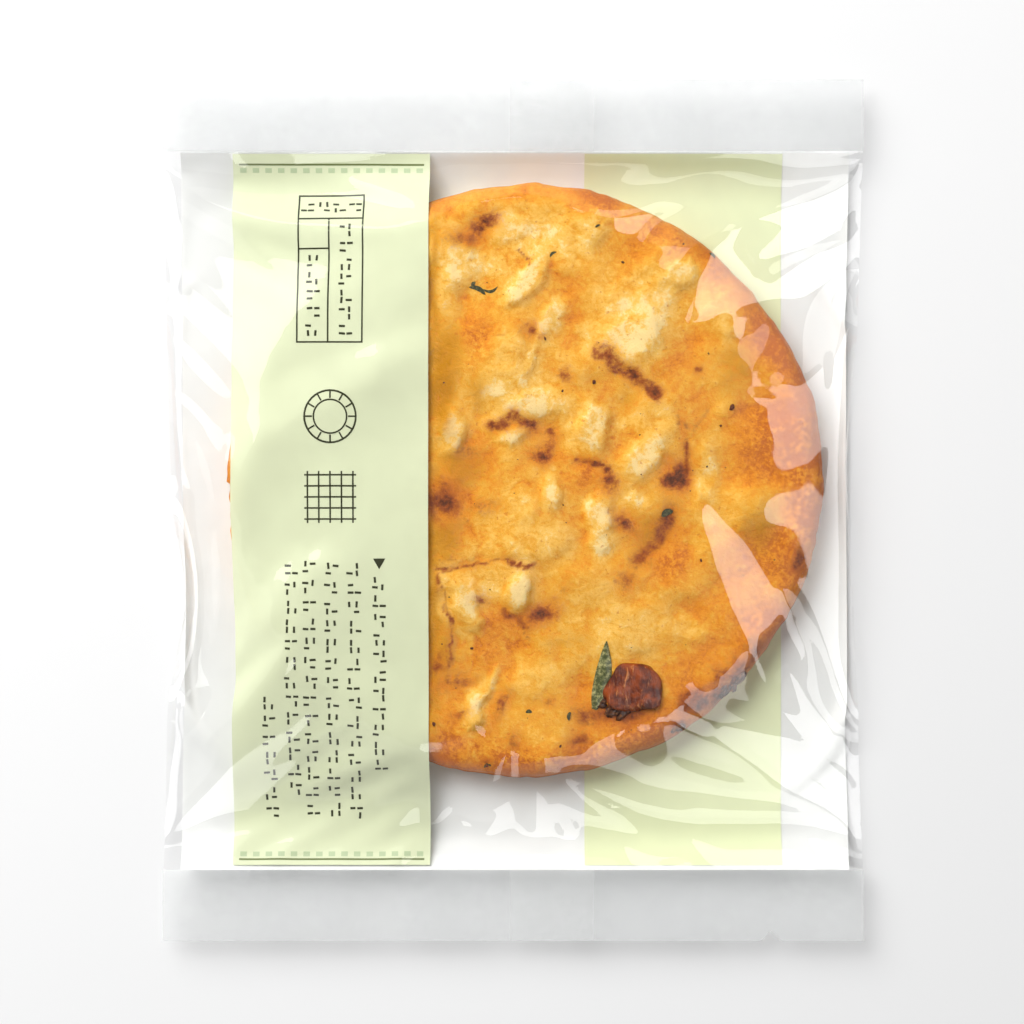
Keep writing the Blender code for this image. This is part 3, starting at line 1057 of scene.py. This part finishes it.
# ---------------------------------------------------------------- what is baked into the cracker
def make_leaf(settings):
    """A dried leaf, narrow and folded along its middle, that lies baked on the cracker."""
    bm = bmesh.new()
    bmesh.ops.create_grid(bm, x_segments=10, y_segments=36, size=1.0)
    base, tip = Vector(LEAF_BASE) * MM, Vector(LEAF_TIP) * MM
    along = (tip - base).normalized()
    side = Vector((along.y, -along.x))
    for vertex in bm.verts:
        across, share = vertex.co.x, (vertex.co.y + 1.0) / 2.0
        width = 1.55 * MM * math.sin(math.pi * min(1.0, 0.04 + 0.96 * share) ** 0.85) ** 0.75
        bend = 0.5 * MM * math.sin(math.pi * share)
        place = base + (tip - base) * share + side * (across * width + bend)
        fold = 0.55 * MM * (1.0 - across * across) * math.sin(math.pi * share) ** 0.5
        crinkle = 0.09 * MM * math.sin(23.0 * share + 3.0 * across)
        resting = top_at(place.x, place.y)
        vertex.co = (place.x, place.y, resting + 0.12 * MM + fold + crinkle)
    bmesh.ops.recalc_face_normals(bm, faces=bm.faces)
    bmesh.ops.solidify(bm, geom=bm.faces[:], thickness=0.16 * MM)
    material = baked_bit_material("dried_leaf", linear(70, 76, 40), linear(170, 168, 112), 0.8 * MM, 0.4,
                                  0.12 * MM)
    piece = finished("dried_leaf", bm, [material], sharp=50)
    hand_in(piece)


def add_pebble(bm, x, y, z, length, width, height, turn, detail, uneven, seed):
    """An uneven little lump at a place. Its sizes are in metres and its turn in degrees."""
    made = bmesh.ops.create_icosphere(bm, subdivisions=detail, radius=0.5)
    angle = math.radians(turn)
    for vertex in made["verts"]:
        co = vertex.co
        swell = 1.0 + uneven * float(lattice_noise(co.x * 2.2 + 3.1 * co.z, co.y * 2.2 - co.z, 0.8, seed))
        along, across = co.x * length * swell, co.y * width * swell
        vertex.co = (x + along * math.cos(angle) - across * math.sin(angle),
                     y + along * math.sin(angle) + across * math.cos(angle), z + co.z * height * swell)


def make_amber_piece(settings):
    """A glossy piece of glaze-soaked topping, sunk into the cracker beside the leaf."""
    bm = bmesh.new()
    bmesh.ops.create_icosphere(bm, subdivisions=5, radius=1.0)
    middle_x, middle_y = AMBER_PLACE[0] * MM, AMBER_PLACE[1] * MM
    base = top_at(middle_x, middle_y) - 0.5 * MM
    places = coordinates(bm)
    # A rounded block with blunt corners, whose ridges run from end to end.
    blunt = np.sum(np.abs(places) ** 3.4, axis=1) ** (-1 / 3.4)
    across, along, up = (places * blunt[:, None]).T
    dent = 1.0 + 0.30 * lattice_noise(across * 1.3 + up, along * 1.3 - up, 1.0, 86)
    ridges = 0.10 * np.sin(7.0 * across + 2.0 * lattice_noise(across, along, 0.7, 87)) * up
    x = middle_x + (4.7 * across * (1.0 - 0.16 * along) + 0.5 * along) * dent * MM
    y = middle_y + (4.1 * along - 0.7 * across) * dent * MM
    move_to(bm, np.stack([x, y, base + (1.75 * up * dent + ridges) * MM], axis=1))
    bmesh.ops.recalc_face_normals(bm, faces=bm.faces)
    material, tree = new_material("amber_glaze")
    place = object_place(tree)
    # Streaks are drawn out along the piece.
    drawn = node(tree, "ShaderNodeMapping", [("Vector", place), ("Scale", (1.0, 0.28, 1.0))])
    streaks = noise(tree, drawn.outputs[0], 0.9 * MM, 4.0, 0.65, 0.8)
    clouds = noise(tree, place, 2.6 * MM, 3.0, 0.6)
    colour = mixed(tree, ranged(tree, clouds, 0.36, 0.62), settings.amber_dark, settings.amber)
    colour = mixed(tree, ranged(tree, streaks, 0.54, 0.72), colour, settings.amber_light)
    height = maths(tree, "ADD", streaks, clouds)
    bump = node(tree, "ShaderNodeBump", [("Strength", 0.9), ("Distance", 0.45 * MM), ("Height", height)])
    shader = node(tree, "ShaderNodeBsdfPrincipled", [("Base Color", colour), ("Roughness", 0.20),
                                                     ("Normal", bump.outputs[0])])
    closed(tree, shader.outputs[0])
    hand_in(finished("glazed_piece", bm, [material]))


def make_crust():
    """Dark baked crumbs, close together, round the glazed piece and on the rim."""
    random = np.random.default_rng(29)
    bm = bmesh.new()
    for points, reach, count in CRUST:
        for _ in range(count):
            leg = int(random.integers(0, len(points) - 1))
            share = random.uniform()
            x, y = ((1.0 - share) * start + share * end for start, end in zip(points[leg], points[leg + 1]))
            x = (x + reach * random.uniform(-0.5, 0.5)) * MM
            y = (y + reach * random.uniform(-0.5, 0.5)) * MM
            size = random.uniform(0.7, 1.5) * MM
            turn = random.uniform(0, 180)
            add_pebble(bm, x, y, top_at(x, y), 1.7 * size, 1.1 * size, 0.6 * size, turn, 2, 0.7,
                       int(random.integers(200, 900)))
    material = baked_bit_material("dark_crust", linear(64, 36, 24), linear(134, 84, 44), 0.7 * MM, 0.3,
                                  0.15 * MM)
    hand_in(finished("dark_crust", bm, [material]))


# Crumbs of dark crust along lines: (points, width of the line, number of crumbs).
CRUST = ((((16.4, -36.2), (19.6, -36.8), (23.4, -36.0), (26.4, -34.2)), 1.7, 34),
         (((16.3, -35.4), (17.6, -32.6)), 1.0, 6), (((36.6, -34.6), (39.4, -33.0), (41.6, -31.0)), 1.2, 9),
         (((29.4, -40.4), (31.0, -39.6)), 0.6, 4))

# Dried herb bits: (x, y, length, width, turn, bend).
HERBS = ((-6.6, 40.4, 3.4, 0.9, -25, 0.5), (-4.2, 41.0, 2.8, 0.6, 10, -0.7), (-7.2, 41.6, 1.2, 0.7, 70, 0.2),
         (7.4, 47.1, 1.6, 0.5, 40, 0.3), (28.4, -0.6, 2.4, 1.2, 25, 0.3),
         (36.8, 47.1, 1.4, 0.6, -40, 0.2), (15.6, 52.3, 1.0, 0.4, 30, 0.1), (2.9, -37.2, 1.2, 0.7, 0, 0.2),
         (10.4, -37.9, 1.5, 0.6, 80, 0.2), (-4.7, -47.2, 1.4, 0.8, 20, 0.2))

# Dark specks: (x, y, size).
SPECKS = ((20.2, 45.7, 0.7), (31.4, 49.1, 0.5), (34.6, -9.2, 0.6), (35.7, 8.1, 0.5), (-4.8, -47.1, 0.8),
          (9.1, 22.0, 0.6), (14.9, 23.6, 0.9), (5.9, 31.6, 0.8), (36.0, 28.9, 0.5), (-7.6, -25.4, 0.7),
          (8.7, -43.4, 0.6), (-14.6, -39.4, 1.0), (23.3, 13.9, 0.4), (38.3, 15.6, 0.6), (9.2, 1.0, 0.4))
SCATTERED_SPECKS = 46
CRUMB = (40.3, 18.9, 1.7, 0.9, 60)


def make_herbs():
    """Slivers of dried herb, each a thin bent strip."""
    bm = bmesh.new()
    for x, y, length, width, turn, bend in HERBS:
        made = bmesh.ops.create_grid(bm, x_segments=8, y_segments=2, size=1.0)
        angle = math.radians(turn)
        for vertex in made["verts"]:
            share = vertex.co.x
            along = share * length * MM / 2
            rounding = 1.0 - share * share
            across = (vertex.co.y * rounding ** 0.5 * width / 2 + bend * rounding) * MM
            px = x * MM + along * math.cos(angle) - across * math.sin(angle)
            py = y * MM + along * math.sin(angle) + across * math.cos(angle)
            vertex.co = (px, py, top_at(px, py) + 0.10 * MM - 0.05 * MM * abs(vertex.co.y))
    bmesh.ops.recalc_face_normals(bm, faces=bm.faces)
    bmesh.ops.solidify(bm, geom=bm.faces[:], thickness=0.12 * MM)
    material = baked_bit_material("dried_herb", linear(50, 52, 28), linear(96, 92, 50), 0.5 * MM, 0.6,
                                  0.05 * MM)
    hand_in(finished("dried_herbs", bm, [material], sharp=50))


def make_specks():
    """Baked specks of seasoning, and one loose crumb."""
    random = np.random.default_rng(17)
    places = [(x, y, size, size * 0.7, random.uniform(0, 180)) for x, y, size in SPECKS]
    for _ in range(SCATTERED_SPECKS):
        reach, angle = 52.0 * math.sqrt(random.uniform()), random.uniform(0.0, 2.0 * math.pi)
        size = random.uniform(0.22, 0.42)
        places.append((2.0 + reach * math.cos(angle), 5.3 + reach * math.sin(angle), size, size * 0.7, 0.0))
    places.append(CRUMB)
    bm = bmesh.new()
    for index, (x, y, length, width, turn) in enumerate(places):
        x, y, length, width = x * MM, y * MM, length * MM, width * MM
        base = top_at(x, y) + 0.1 * width
        add_pebble(bm, x, y, base, length, width, width * 0.8, turn, 1, 0.4, 100 + index)
    material = baked_bit_material("baked_specks", linear(84, 44, 26), linear(120, 60, 34), 0.4 * MM, 0.6,
                                  0.04 * MM)
    hand_in(finished("baked_specks", bm, [material]))


# ---------------------------------------------------------------- stage
def aimed(light, target):
    direction = Vector(target) - light.location
    light.rotation_euler = direction.to_track_quat("-Z", "Y").to_euler()


def soft_light(name, azimuth, slope, distance, width, height, power):
    """A rectangular soft light. Azimuth is round from +X, and slope is down from straight overhead."""
    lamp = bpy.data.lights.new(name, "AREA")
    lamp.shape = "RECTANGLE"
    lamp.size = width
    lamp.size_y = height
    lamp.energy = power
    lamp.color = (1.0, 1.0, 1.0)
    light = bpy.data.objects.new(name, lamp)
    bpy.context.scene.collection.objects.link(light)
    round_angle, down = math.radians(azimuth), math.radians(slope)
    light.location = (distance * math.sin(down) * math.cos(round_angle),
                      distance * math.sin(down) * math.sin(round_angle), distance * math.cos(down))
    aimed(light, (0.0, 0.0, 0.0))
    return light


def make_world(brightness):
    """A white light tent with a dark opening straight overhead, for the camera."""
    world = bpy.data.worlds.new("light_tent")
    world.use_nodes = True
    tree = world.node_tree
    tree.nodes.clear()
    direction = node(tree, "ShaderNodeTexCoord").outputs["Generated"]
    up = node(tree, "ShaderNodeSeparateXYZ", [("Vector", direction)]).outputs["Z"]
    strength = ranged(tree, up, 0.80, 0.86, brightness, 0.01)
    background = node(tree, "ShaderNodeBackground", [("Color", (1.0, 1.0, 1.0, 1.0)),
                                                     ("Strength", strength)])
    output = node(tree, "ShaderNodeOutputWorld")
    tree.links.new(background.outputs[0], output.inputs["Surface"])
    bpy.context.scene.world = world


LAMP_DISTANCE = 0.95
KEY_SIZE = 0.78

# White cards that show only in gloss: (name, azimuth, slope, width, height, brightness).
GLOSS_CARDS = (("right_card", -6.0, 40.0, 0.80, 0.62, 0.72), ("lower_card", -80.0, 38.0, 0.36, 0.50, 0.50),
               ("upper_card", 64.0, 40.0, 0.40, 0.40, 0.36), ("left_card", 140.0, 46.0, 0.55, 0.45, 0.36))


def make_stage(settings):
    bm = bmesh.new()
    bmesh.ops.create_grid(bm, x_segments=1, y_segments=1, size=6.0)
    material, tree = new_material("floor")
    shader = node(tree, "ShaderNodeBsdfPrincipled", [("Base Color", opaque(settings.floor)),
                                                     ("Roughness", 0.9), ("Specular IOR Level", 0.0)])
    closed(tree, shader.outputs[0])
    floor = finished("floor", bm, [material], smooth_shading=False)
    make_world(settings.tent)
    key = soft_light("key_light", 128.0, 45.0, LAMP_DISTANCE, KEY_SIZE, KEY_SIZE, settings.key_power)
    key.visible_glossy = False
    for name, azimuth, slope, width, height, share in GLOSS_CARDS:
        power = share * width * height * settings.card_power
        card = soft_light(name, azimuth, slope, LAMP_DISTANCE, width, height, power)
        card.visible_diffuse = False
    view = bpy.data.cameras.new("camera")
    view.lens = 120.0
    view.sensor_width = 36.0
    view.clip_start = 0.05
    camera = bpy.data.objects.new("camera", view)
    bpy.context.scene.collection.objects.link(camera)
    camera.location = (-0.2 * MM, -0.3 * MM, 0.637)
    bpy.context.scene.camera = camera
    bpy.context.scene.view_settings.view_transform = "Standard"


# ---------------------------------------------------------------- film pieces
WHITE_FIELD = (-61.7, 62.4, -66.75, 66.4)
NOTCH_MIDDLE = 47.8 * MM
NOTCH_WIDTH = 3.4 * MM
NOTCH_DEPTH = 1.9 * MM
SEAL_GAP = 0.05 * MM


def film_half(bm, settings, side):
    """The flat cells of the front or the back, cut along the edges of its print and seals."""
    columns = round(PACK_WIDTH / settings.cell)
    rows = round(PACK_LENGTH / settings.cell)
    made = bmesh.ops.create_grid(bm, x_segments=columns, y_segments=rows, size=0.5,
                                 matrix=Matrix.Diagonal((PACK_WIDTH, PACK_LENGTH, 1.0, 1.0)))
    level = 0.0 if side == "front" else -1.0
    bmesh.ops.translate(bm, verts=made["verts"], vec=(0.0, 0.0, level))
    left, right, low, high = (edge * MM for edge in WHITE_FIELD)
    cuts = [(0, -SEAL_LINE), (0, SEAL_LINE)]
    if side == "back":
        cuts += [(1, left), (1, right), (0, high)]
    for upright, at in cuts:
        here = [vertex for vertex in bm.verts if abs(vertex.co.z - level) < 0.5]
        faces = [face for face in bm.faces if abs(face.verts[0].co.z - level) < 0.5]
        edges = [edge for edge in bm.edges if abs(edge.verts[0].co.z - level) < 0.5]
        point, normal = ((at, 0.0, 0.0), (1.0, 0.0, 0.0)) if upright else ((0.0, at, 0.0), (0.0, 1.0, 0.0))
        bmesh.ops.bisect_plane(bm, geom=here + edges + faces, dist=1e-6, plane_co=point, plane_no=normal)


def make_film(settings):
    bm = bmesh.new()
    film_half(bm, settings, "front")
    film_half(bm, settings, "back")
    left, right, low, high = (edge * MM for edge in WHITE_FIELD)
    for face in bm.faces:
        middle = face.calc_center_median()
        if abs(middle.y) > SEAL_LINE:
            face.material_index = 1
        elif middle.z < -0.5 and left < middle.x < right and middle.y < high:
            face.material_index = 2
    flat = coordinates(bm)
    is_back = flat[:, 2] < -0.5
    edge_share = np.clip(1.0 - np.abs(flat[:, 0] - NOTCH_MIDDLE) / (NOTCH_WIDTH / 2), 0.0, 1.0)
    seal_share = np.clip((-SEAL_LINE - flat[:, 1]) / SEAL_LENGTH, 0.0, 1.0)
    flat[:, 1] += NOTCH_DEPTH * edge_share * seal_share ** 2
    at_side = np.abs(np.abs(flat[:, 0]) - PACK_WIDTH / 2) < 1e-6
    at_end = np.abs(np.abs(flat[:, 1]) - PACK_LENGTH / 2) < 1e-6
    rim = at_side | at_end
    at_bottom = seal_share > 1.0 - 1e-6
    lift = np.where(rim | at_bottom, 0.0, SEAL_GAP)
    front = film().lifted("front", flat[:, 0], flat[:, 1], lift)
    back = film().lifted("back", flat[:, 0], flat[:, 1], lift)
    move_to(bm, np.where(is_back[:, None], back, front))
    bmesh.ops.remove_doubles(bm, verts=[v for v, on in zip(bm.verts, rim | at_bottom) if on], dist=0.02 * MM)
    bmesh.ops.recalc_face_normals(bm, faces=bm.faces)
    materials = [clear_film_material(settings),
                 # Sealed ends: milky film whose grey is partly painted shade.
                 milky_material("sealed_film", settings.seal_grey_and_shade, 0.24, ribs=260.0),
                 milky_material("white_film", settings.white, 0.88)]
    piece = finished("sachet_film", bm, materials, sharp=60)
    hand_in(piece, replaces=True)
    return piece


# ---------------------------------------------------------------- printed bands and marks
FRONT_BAND = (-52.0, -15.4, -65.8, 66.2)
BACK_BAND = (13.3, 50.0, -65.8, 66.2)
BAND_LIFT = -0.06 * MM
INK_LIFT = -0.03 * MM


def add_bar(bm, x, y, width, length, turn=0.0):
    """A flat bar in millimetres, cut up enough to follow the film."""
    across = max(1, round(width / 1.5))
    along = max(1, round(length / 1.5))
    matrix = (Matrix.Translation((x * MM, y * MM, 0.0)) @ Matrix.Rotation(math.radians(turn), 4, "Z")
              @ Matrix.Diagonal((width * MM, length * MM, 1.0, 1.0)))
    bmesh.ops.create_grid(bm, x_segments=across, y_segments=along, size=0.5, matrix=matrix)


def add_ring(bm, x, y, radius, thickness):
    """A flat ring in millimetres."""
    made = bmesh.ops.create_circle(bm, cap_ends=False, segments=40, radius=radius * MM,
                                   matrix=Matrix.Translation((x * MM, y * MM, 0.0)))
    edges = [edge for edge in bm.edges if edge.verts[0] in set(made["verts"])]
    grown = bmesh.ops.extrude_edge_only(bm, edges=edges)
    inner = [item for item in grown["geom"] if isinstance(item, bmesh.types.BMVert)]
    share = (radius - thickness) / radius
    centre = Matrix.Translation((-x * MM, -y * MM, 0.0))
    bmesh.ops.scale(bm, vec=(share, share, 1.0), verts=inner, space=centre)


def add_frame(bm, left, right, low, high, line):
    """Four bars round a box."""
    add_bar(bm, (left + right) / 2, high, right - left + line, line)
    add_bar(bm, (left + right) / 2, low, right - left + line, line)
    add_bar(bm, left, (low + high) / 2, line, high - low + line)
    add_bar(bm, right, (low + high) / 2, line, high - low + line)


def make_band(name, side, edges, material):
    left, right, low, high = edges
    bm = bmesh.new()
    matrix = (Matrix.Translation(((left + right) / 2 * MM, (low + high) / 2 * MM, 0.0))
              @ Matrix.Diagonal(((right - left) * MM, (high - low) * MM, 1.0, 1.0)))
    bmesh.ops.create_grid(bm, x_segments=round(right - left), y_segments=round(high - low), size=0.5,
                          matrix=matrix)
    wrap(bm, side, BAND_LIFT)
    piece = finished(name, bm, [material])
    hand_in(piece)


def add_dashes(bm, x, y, size, random):
    """A little cluster of three short dashes that lie upright or across, none of them touching."""
    corners = [(-1, -1), (-1, 1), (1, -1), (1, 1)]
    del corners[random.integers(4)]
    for across, along in corners:
        turn = 90.0 * random.integers(2) + random.uniform(-6.0, 6.0)
        length = size * random.uniform(0.36, 0.46)
        add_bar(bm, x + across * size * 0.26, y + along * size * 0.26, 0.16 * size, length, turn)


def dash_column(bm, x, high, low, pitch, size, random):
    """A column of such clusters."""
    count = round((high - low) / pitch)
    for index in range(count):
        y = high - (index + 0.5) * (high - low) / count
        add_dashes(bm, x + random.uniform(-0.2, 0.2), y, size, random)


DASH_COLUMNS = ((-24.4, -11.4, -48.4), (-29.1, -8.8, -57.7), (-33.2, -8.8, -57.3), (-37.2, -8.4, -57.3),
                (-40.7, -8.8, -53.2), (-45.0, -33.2, -57.7))


def make_front_print(settings):
    """Dark marks on the front band: a framed box, two plain motifs and columns of dashes."""
    random = np.random.default_rng(9)
    bm = bmesh.new()
    add_frame(bm, -39.6, -27.6, 30.7, 58.4, 0.3)
    add_bar(bm, -33.6, 53.6, 12.0, 0.3)
    add_bar(bm, -33.9, 42.2, 0.3, 22.9)
    add_bar(bm, -36.8, 48.0, 5.6, 0.3)
    for index in range(4):
        add_dashes(bm, -38.0 + index * 2.95, 56.0, 2.5, random)
    dash_column(bm, -30.7, 52.8, 31.4, 3.0, 2.6, random)
    dash_column(bm, -36.7, 47.2, 31.4, 3.0, 2.6, random)
    add_ring(bm, -33.4, 17.2, 4.9, 0.35)
    add_ring(bm, -33.4, 17.2, 3.2, 0.3)
    for index in range(12):
        turn = index * 30.0
        add_bar(bm, -33.4 + 4.05 * math.sin(math.radians(turn)), 17.2 + 4.05 * math.cos(math.radians(turn)),
                0.3, 1.5, -turn)
    for index in range(5):
        add_bar(bm, -33.4, 2.6 + (index - 2) * 2.0, 9.6, 0.3)
        add_bar(bm, -33.4 + (index - 2) * 2.1, 2.6, 0.3, 9.4)
    triangle = bmesh.ops.create_circle(bm, cap_ends=True, segments=3, radius=1.3 * MM)
    bmesh.ops.rotate(bm, verts=triangle["verts"], matrix=Matrix.Rotation(math.radians(60), 3, "Z"))
    bmesh.ops.translate(bm, verts=triangle["verts"], vec=(-24.4 * MM, -9.2 * MM, 0.0))
    for x, high, low in DASH_COLUMNS:
        dash_column(bm, x, high, low, 3.5, 2.6, random)
    wrap(bm, "front", INK_LIFT)
    piece = finished("print_marks", bm, [printed_material("dark_ink", settings.ink, 0.95)])
    hand_in(piece)


def make_border(name, side, edges, settings):
    """A line and a row of small pale marks at each end of a band."""
    left, right, _, _ = edges
    for part, material in (("line", printed_material("border_ink", settings.border_ink, 0.95)),
                           ("row", printed_material("pale_ink", settings.border_pale, 0.95))):
        bm = bmesh.new()
        for line_y, row_y in ((64.2, 63.1), (-64.7, -63.7)):
            if part == "line":
                add_bar(bm, (left + right) / 2, line_y, right - left - 2.2, 0.35)
            else:
                for index in range(15):
                    add_bar(bm, left + 1.9 + index * (right - left - 3.8) / 14, row_y, 1.2, 0.9)
        wrap(bm, side, INK_LIFT)
        piece = finished(f"{name}_{part}", bm, [material])
        hand_in(piece)


def make_seam(settings):
    """The back seam's flap, folded flat against the back film, over the whole length."""
    start = -0.6 * MM
    bm = bmesh.new()
    rows = round(PACK_LENGTH / (1.5 * MM))
    matrix = (Matrix.Translation((start + settings.seam_width / 2, 0.0, 0.0))
              @ Matrix.Diagonal((settings.seam_width, PACK_LENGTH, 1.0, 1.0)))
    bmesh.ops.create_grid(bm, x_segments=12, y_segments=rows, size=0.5, matrix=matrix)
    wrap(bm, "back", 0.16 * MM)
    piece = finished("back_seam", bm, [milky_material("seam_film", settings.white, 0.18)])
    hand_in(piece)


# ---------------------------------------------------------------- operators
class CRACKER_OT_stage(bpy.types.Operator):
    """Makes the floor, the lights and the camera"""

    bl_idname = "cracker.stage"
    bl_label = "Stage"

    def execute(self, context):
        make_stage(context.scene.cracker_stage)
        return {"FINISHED"}


class CRACKER_OT_cracker(bpy.types.Operator):
    """Makes the rice cracker"""

    bl_idname = "cracker.cracker"
    bl_label = "Rice cracker"

    def execute(self, context):
        make_cracker(context.scene.cracker_food)
        return {"FINISHED"}


class CRACKER_OT_bits(bpy.types.Operator):
    """Makes the leaf, the herbs, the glazed piece and the specks that are baked into the cracker"""

    bl_idname = "cracker.bits"
    bl_label = "Baked bits"

    def execute(self, context):
        make_leaf(context.scene.cracker_food)
        make_herbs()
        make_crust()
        make_amber_piece(context.scene.cracker_food)
        make_specks()
        return {"FINISHED"}


class CRACKER_OT_film(bpy.types.Operator):
    """Settles the film over the cracker and makes the sachet with its back seam"""

    bl_idname = "cracker.film"
    bl_label = "Sachet film"

    def execute(self, context):
        make_film(context.scene.cracker_sachet)
        make_seam(context.scene.cracker_sachet)
        return {"FINISHED"}


class CRACKER_OT_print(bpy.types.Operator):
    """Makes the printed bands, their borders and the dark marks"""

    bl_idname = "cracker.print"
    bl_label = "Print"

    def execute(self, context):
        settings = context.scene.cracker_sachet
        material = printed_material("front_green", settings.band_green, 0.955)
        make_band("front_band", "front", FRONT_BAND, material)
        # The back band's green is lightened as painted light.
        make_band("back_band", "back", BACK_BAND, printed_material("back_green_painted_light", settings.back_green_painted_light, 0.88))
        make_border("front_border", "front", FRONT_BAND, settings)
        make_border("back_border", "back", BACK_BAND, settings)
        make_front_print(settings)
        return {"FINISHED"}


class CRACKER_PT_panel(bpy.types.Panel):
    """Lists the sachet's settings and the pieces that can be made"""

    bl_idname = "CRACKER_PT_panel"
    bl_label = "Rice cracker sachet"
    bl_space_type = "VIEW_3D"
    bl_region_type = "UI"
    bl_category = "Cracker"

    def draw(self, context):
        layout = self.layout
        for operator in OPERATORS:
            layout.operator(operator.bl_idname)
        for name in SETTINGS:
            group = getattr(context.scene, name)
            box = layout.box()
            for key in group.__annotations__:
                box.prop(group, key)


SETTINGS = {"cracker_food": CrackerSettings, "cracker_sachet": SachetSettings,
            "cracker_stage": StageSettings}
OPERATORS = (CRACKER_OT_stage, CRACKER_OT_cracker, CRACKER_OT_bits, CRACKER_OT_film, CRACKER_OT_print)
CLASSES = (*SETTINGS.values(), *OPERATORS, CRACKER_PT_panel)


def register():
    for cls in CLASSES:
        bpy.utils.register_class(cls)
    for name, group in SETTINGS.items():
        setattr(bpy.types.Scene, name, bpy.props.PointerProperty(type=group))


def unregister():
    for name in SETTINGS:
        delattr(bpy.types.Scene, name)
    for cls in reversed(CLASSES):
        bpy.utils.unregister_class(cls)


def main():
    register()
    bpy.ops.cracker.stage()
    bpy.ops.cracker.cracker()
    bpy.ops.cracker.bits()
    bpy.ops.cracker.film()
    bpy.ops.cracker.print()


if __name__ == "__main__":
    main()
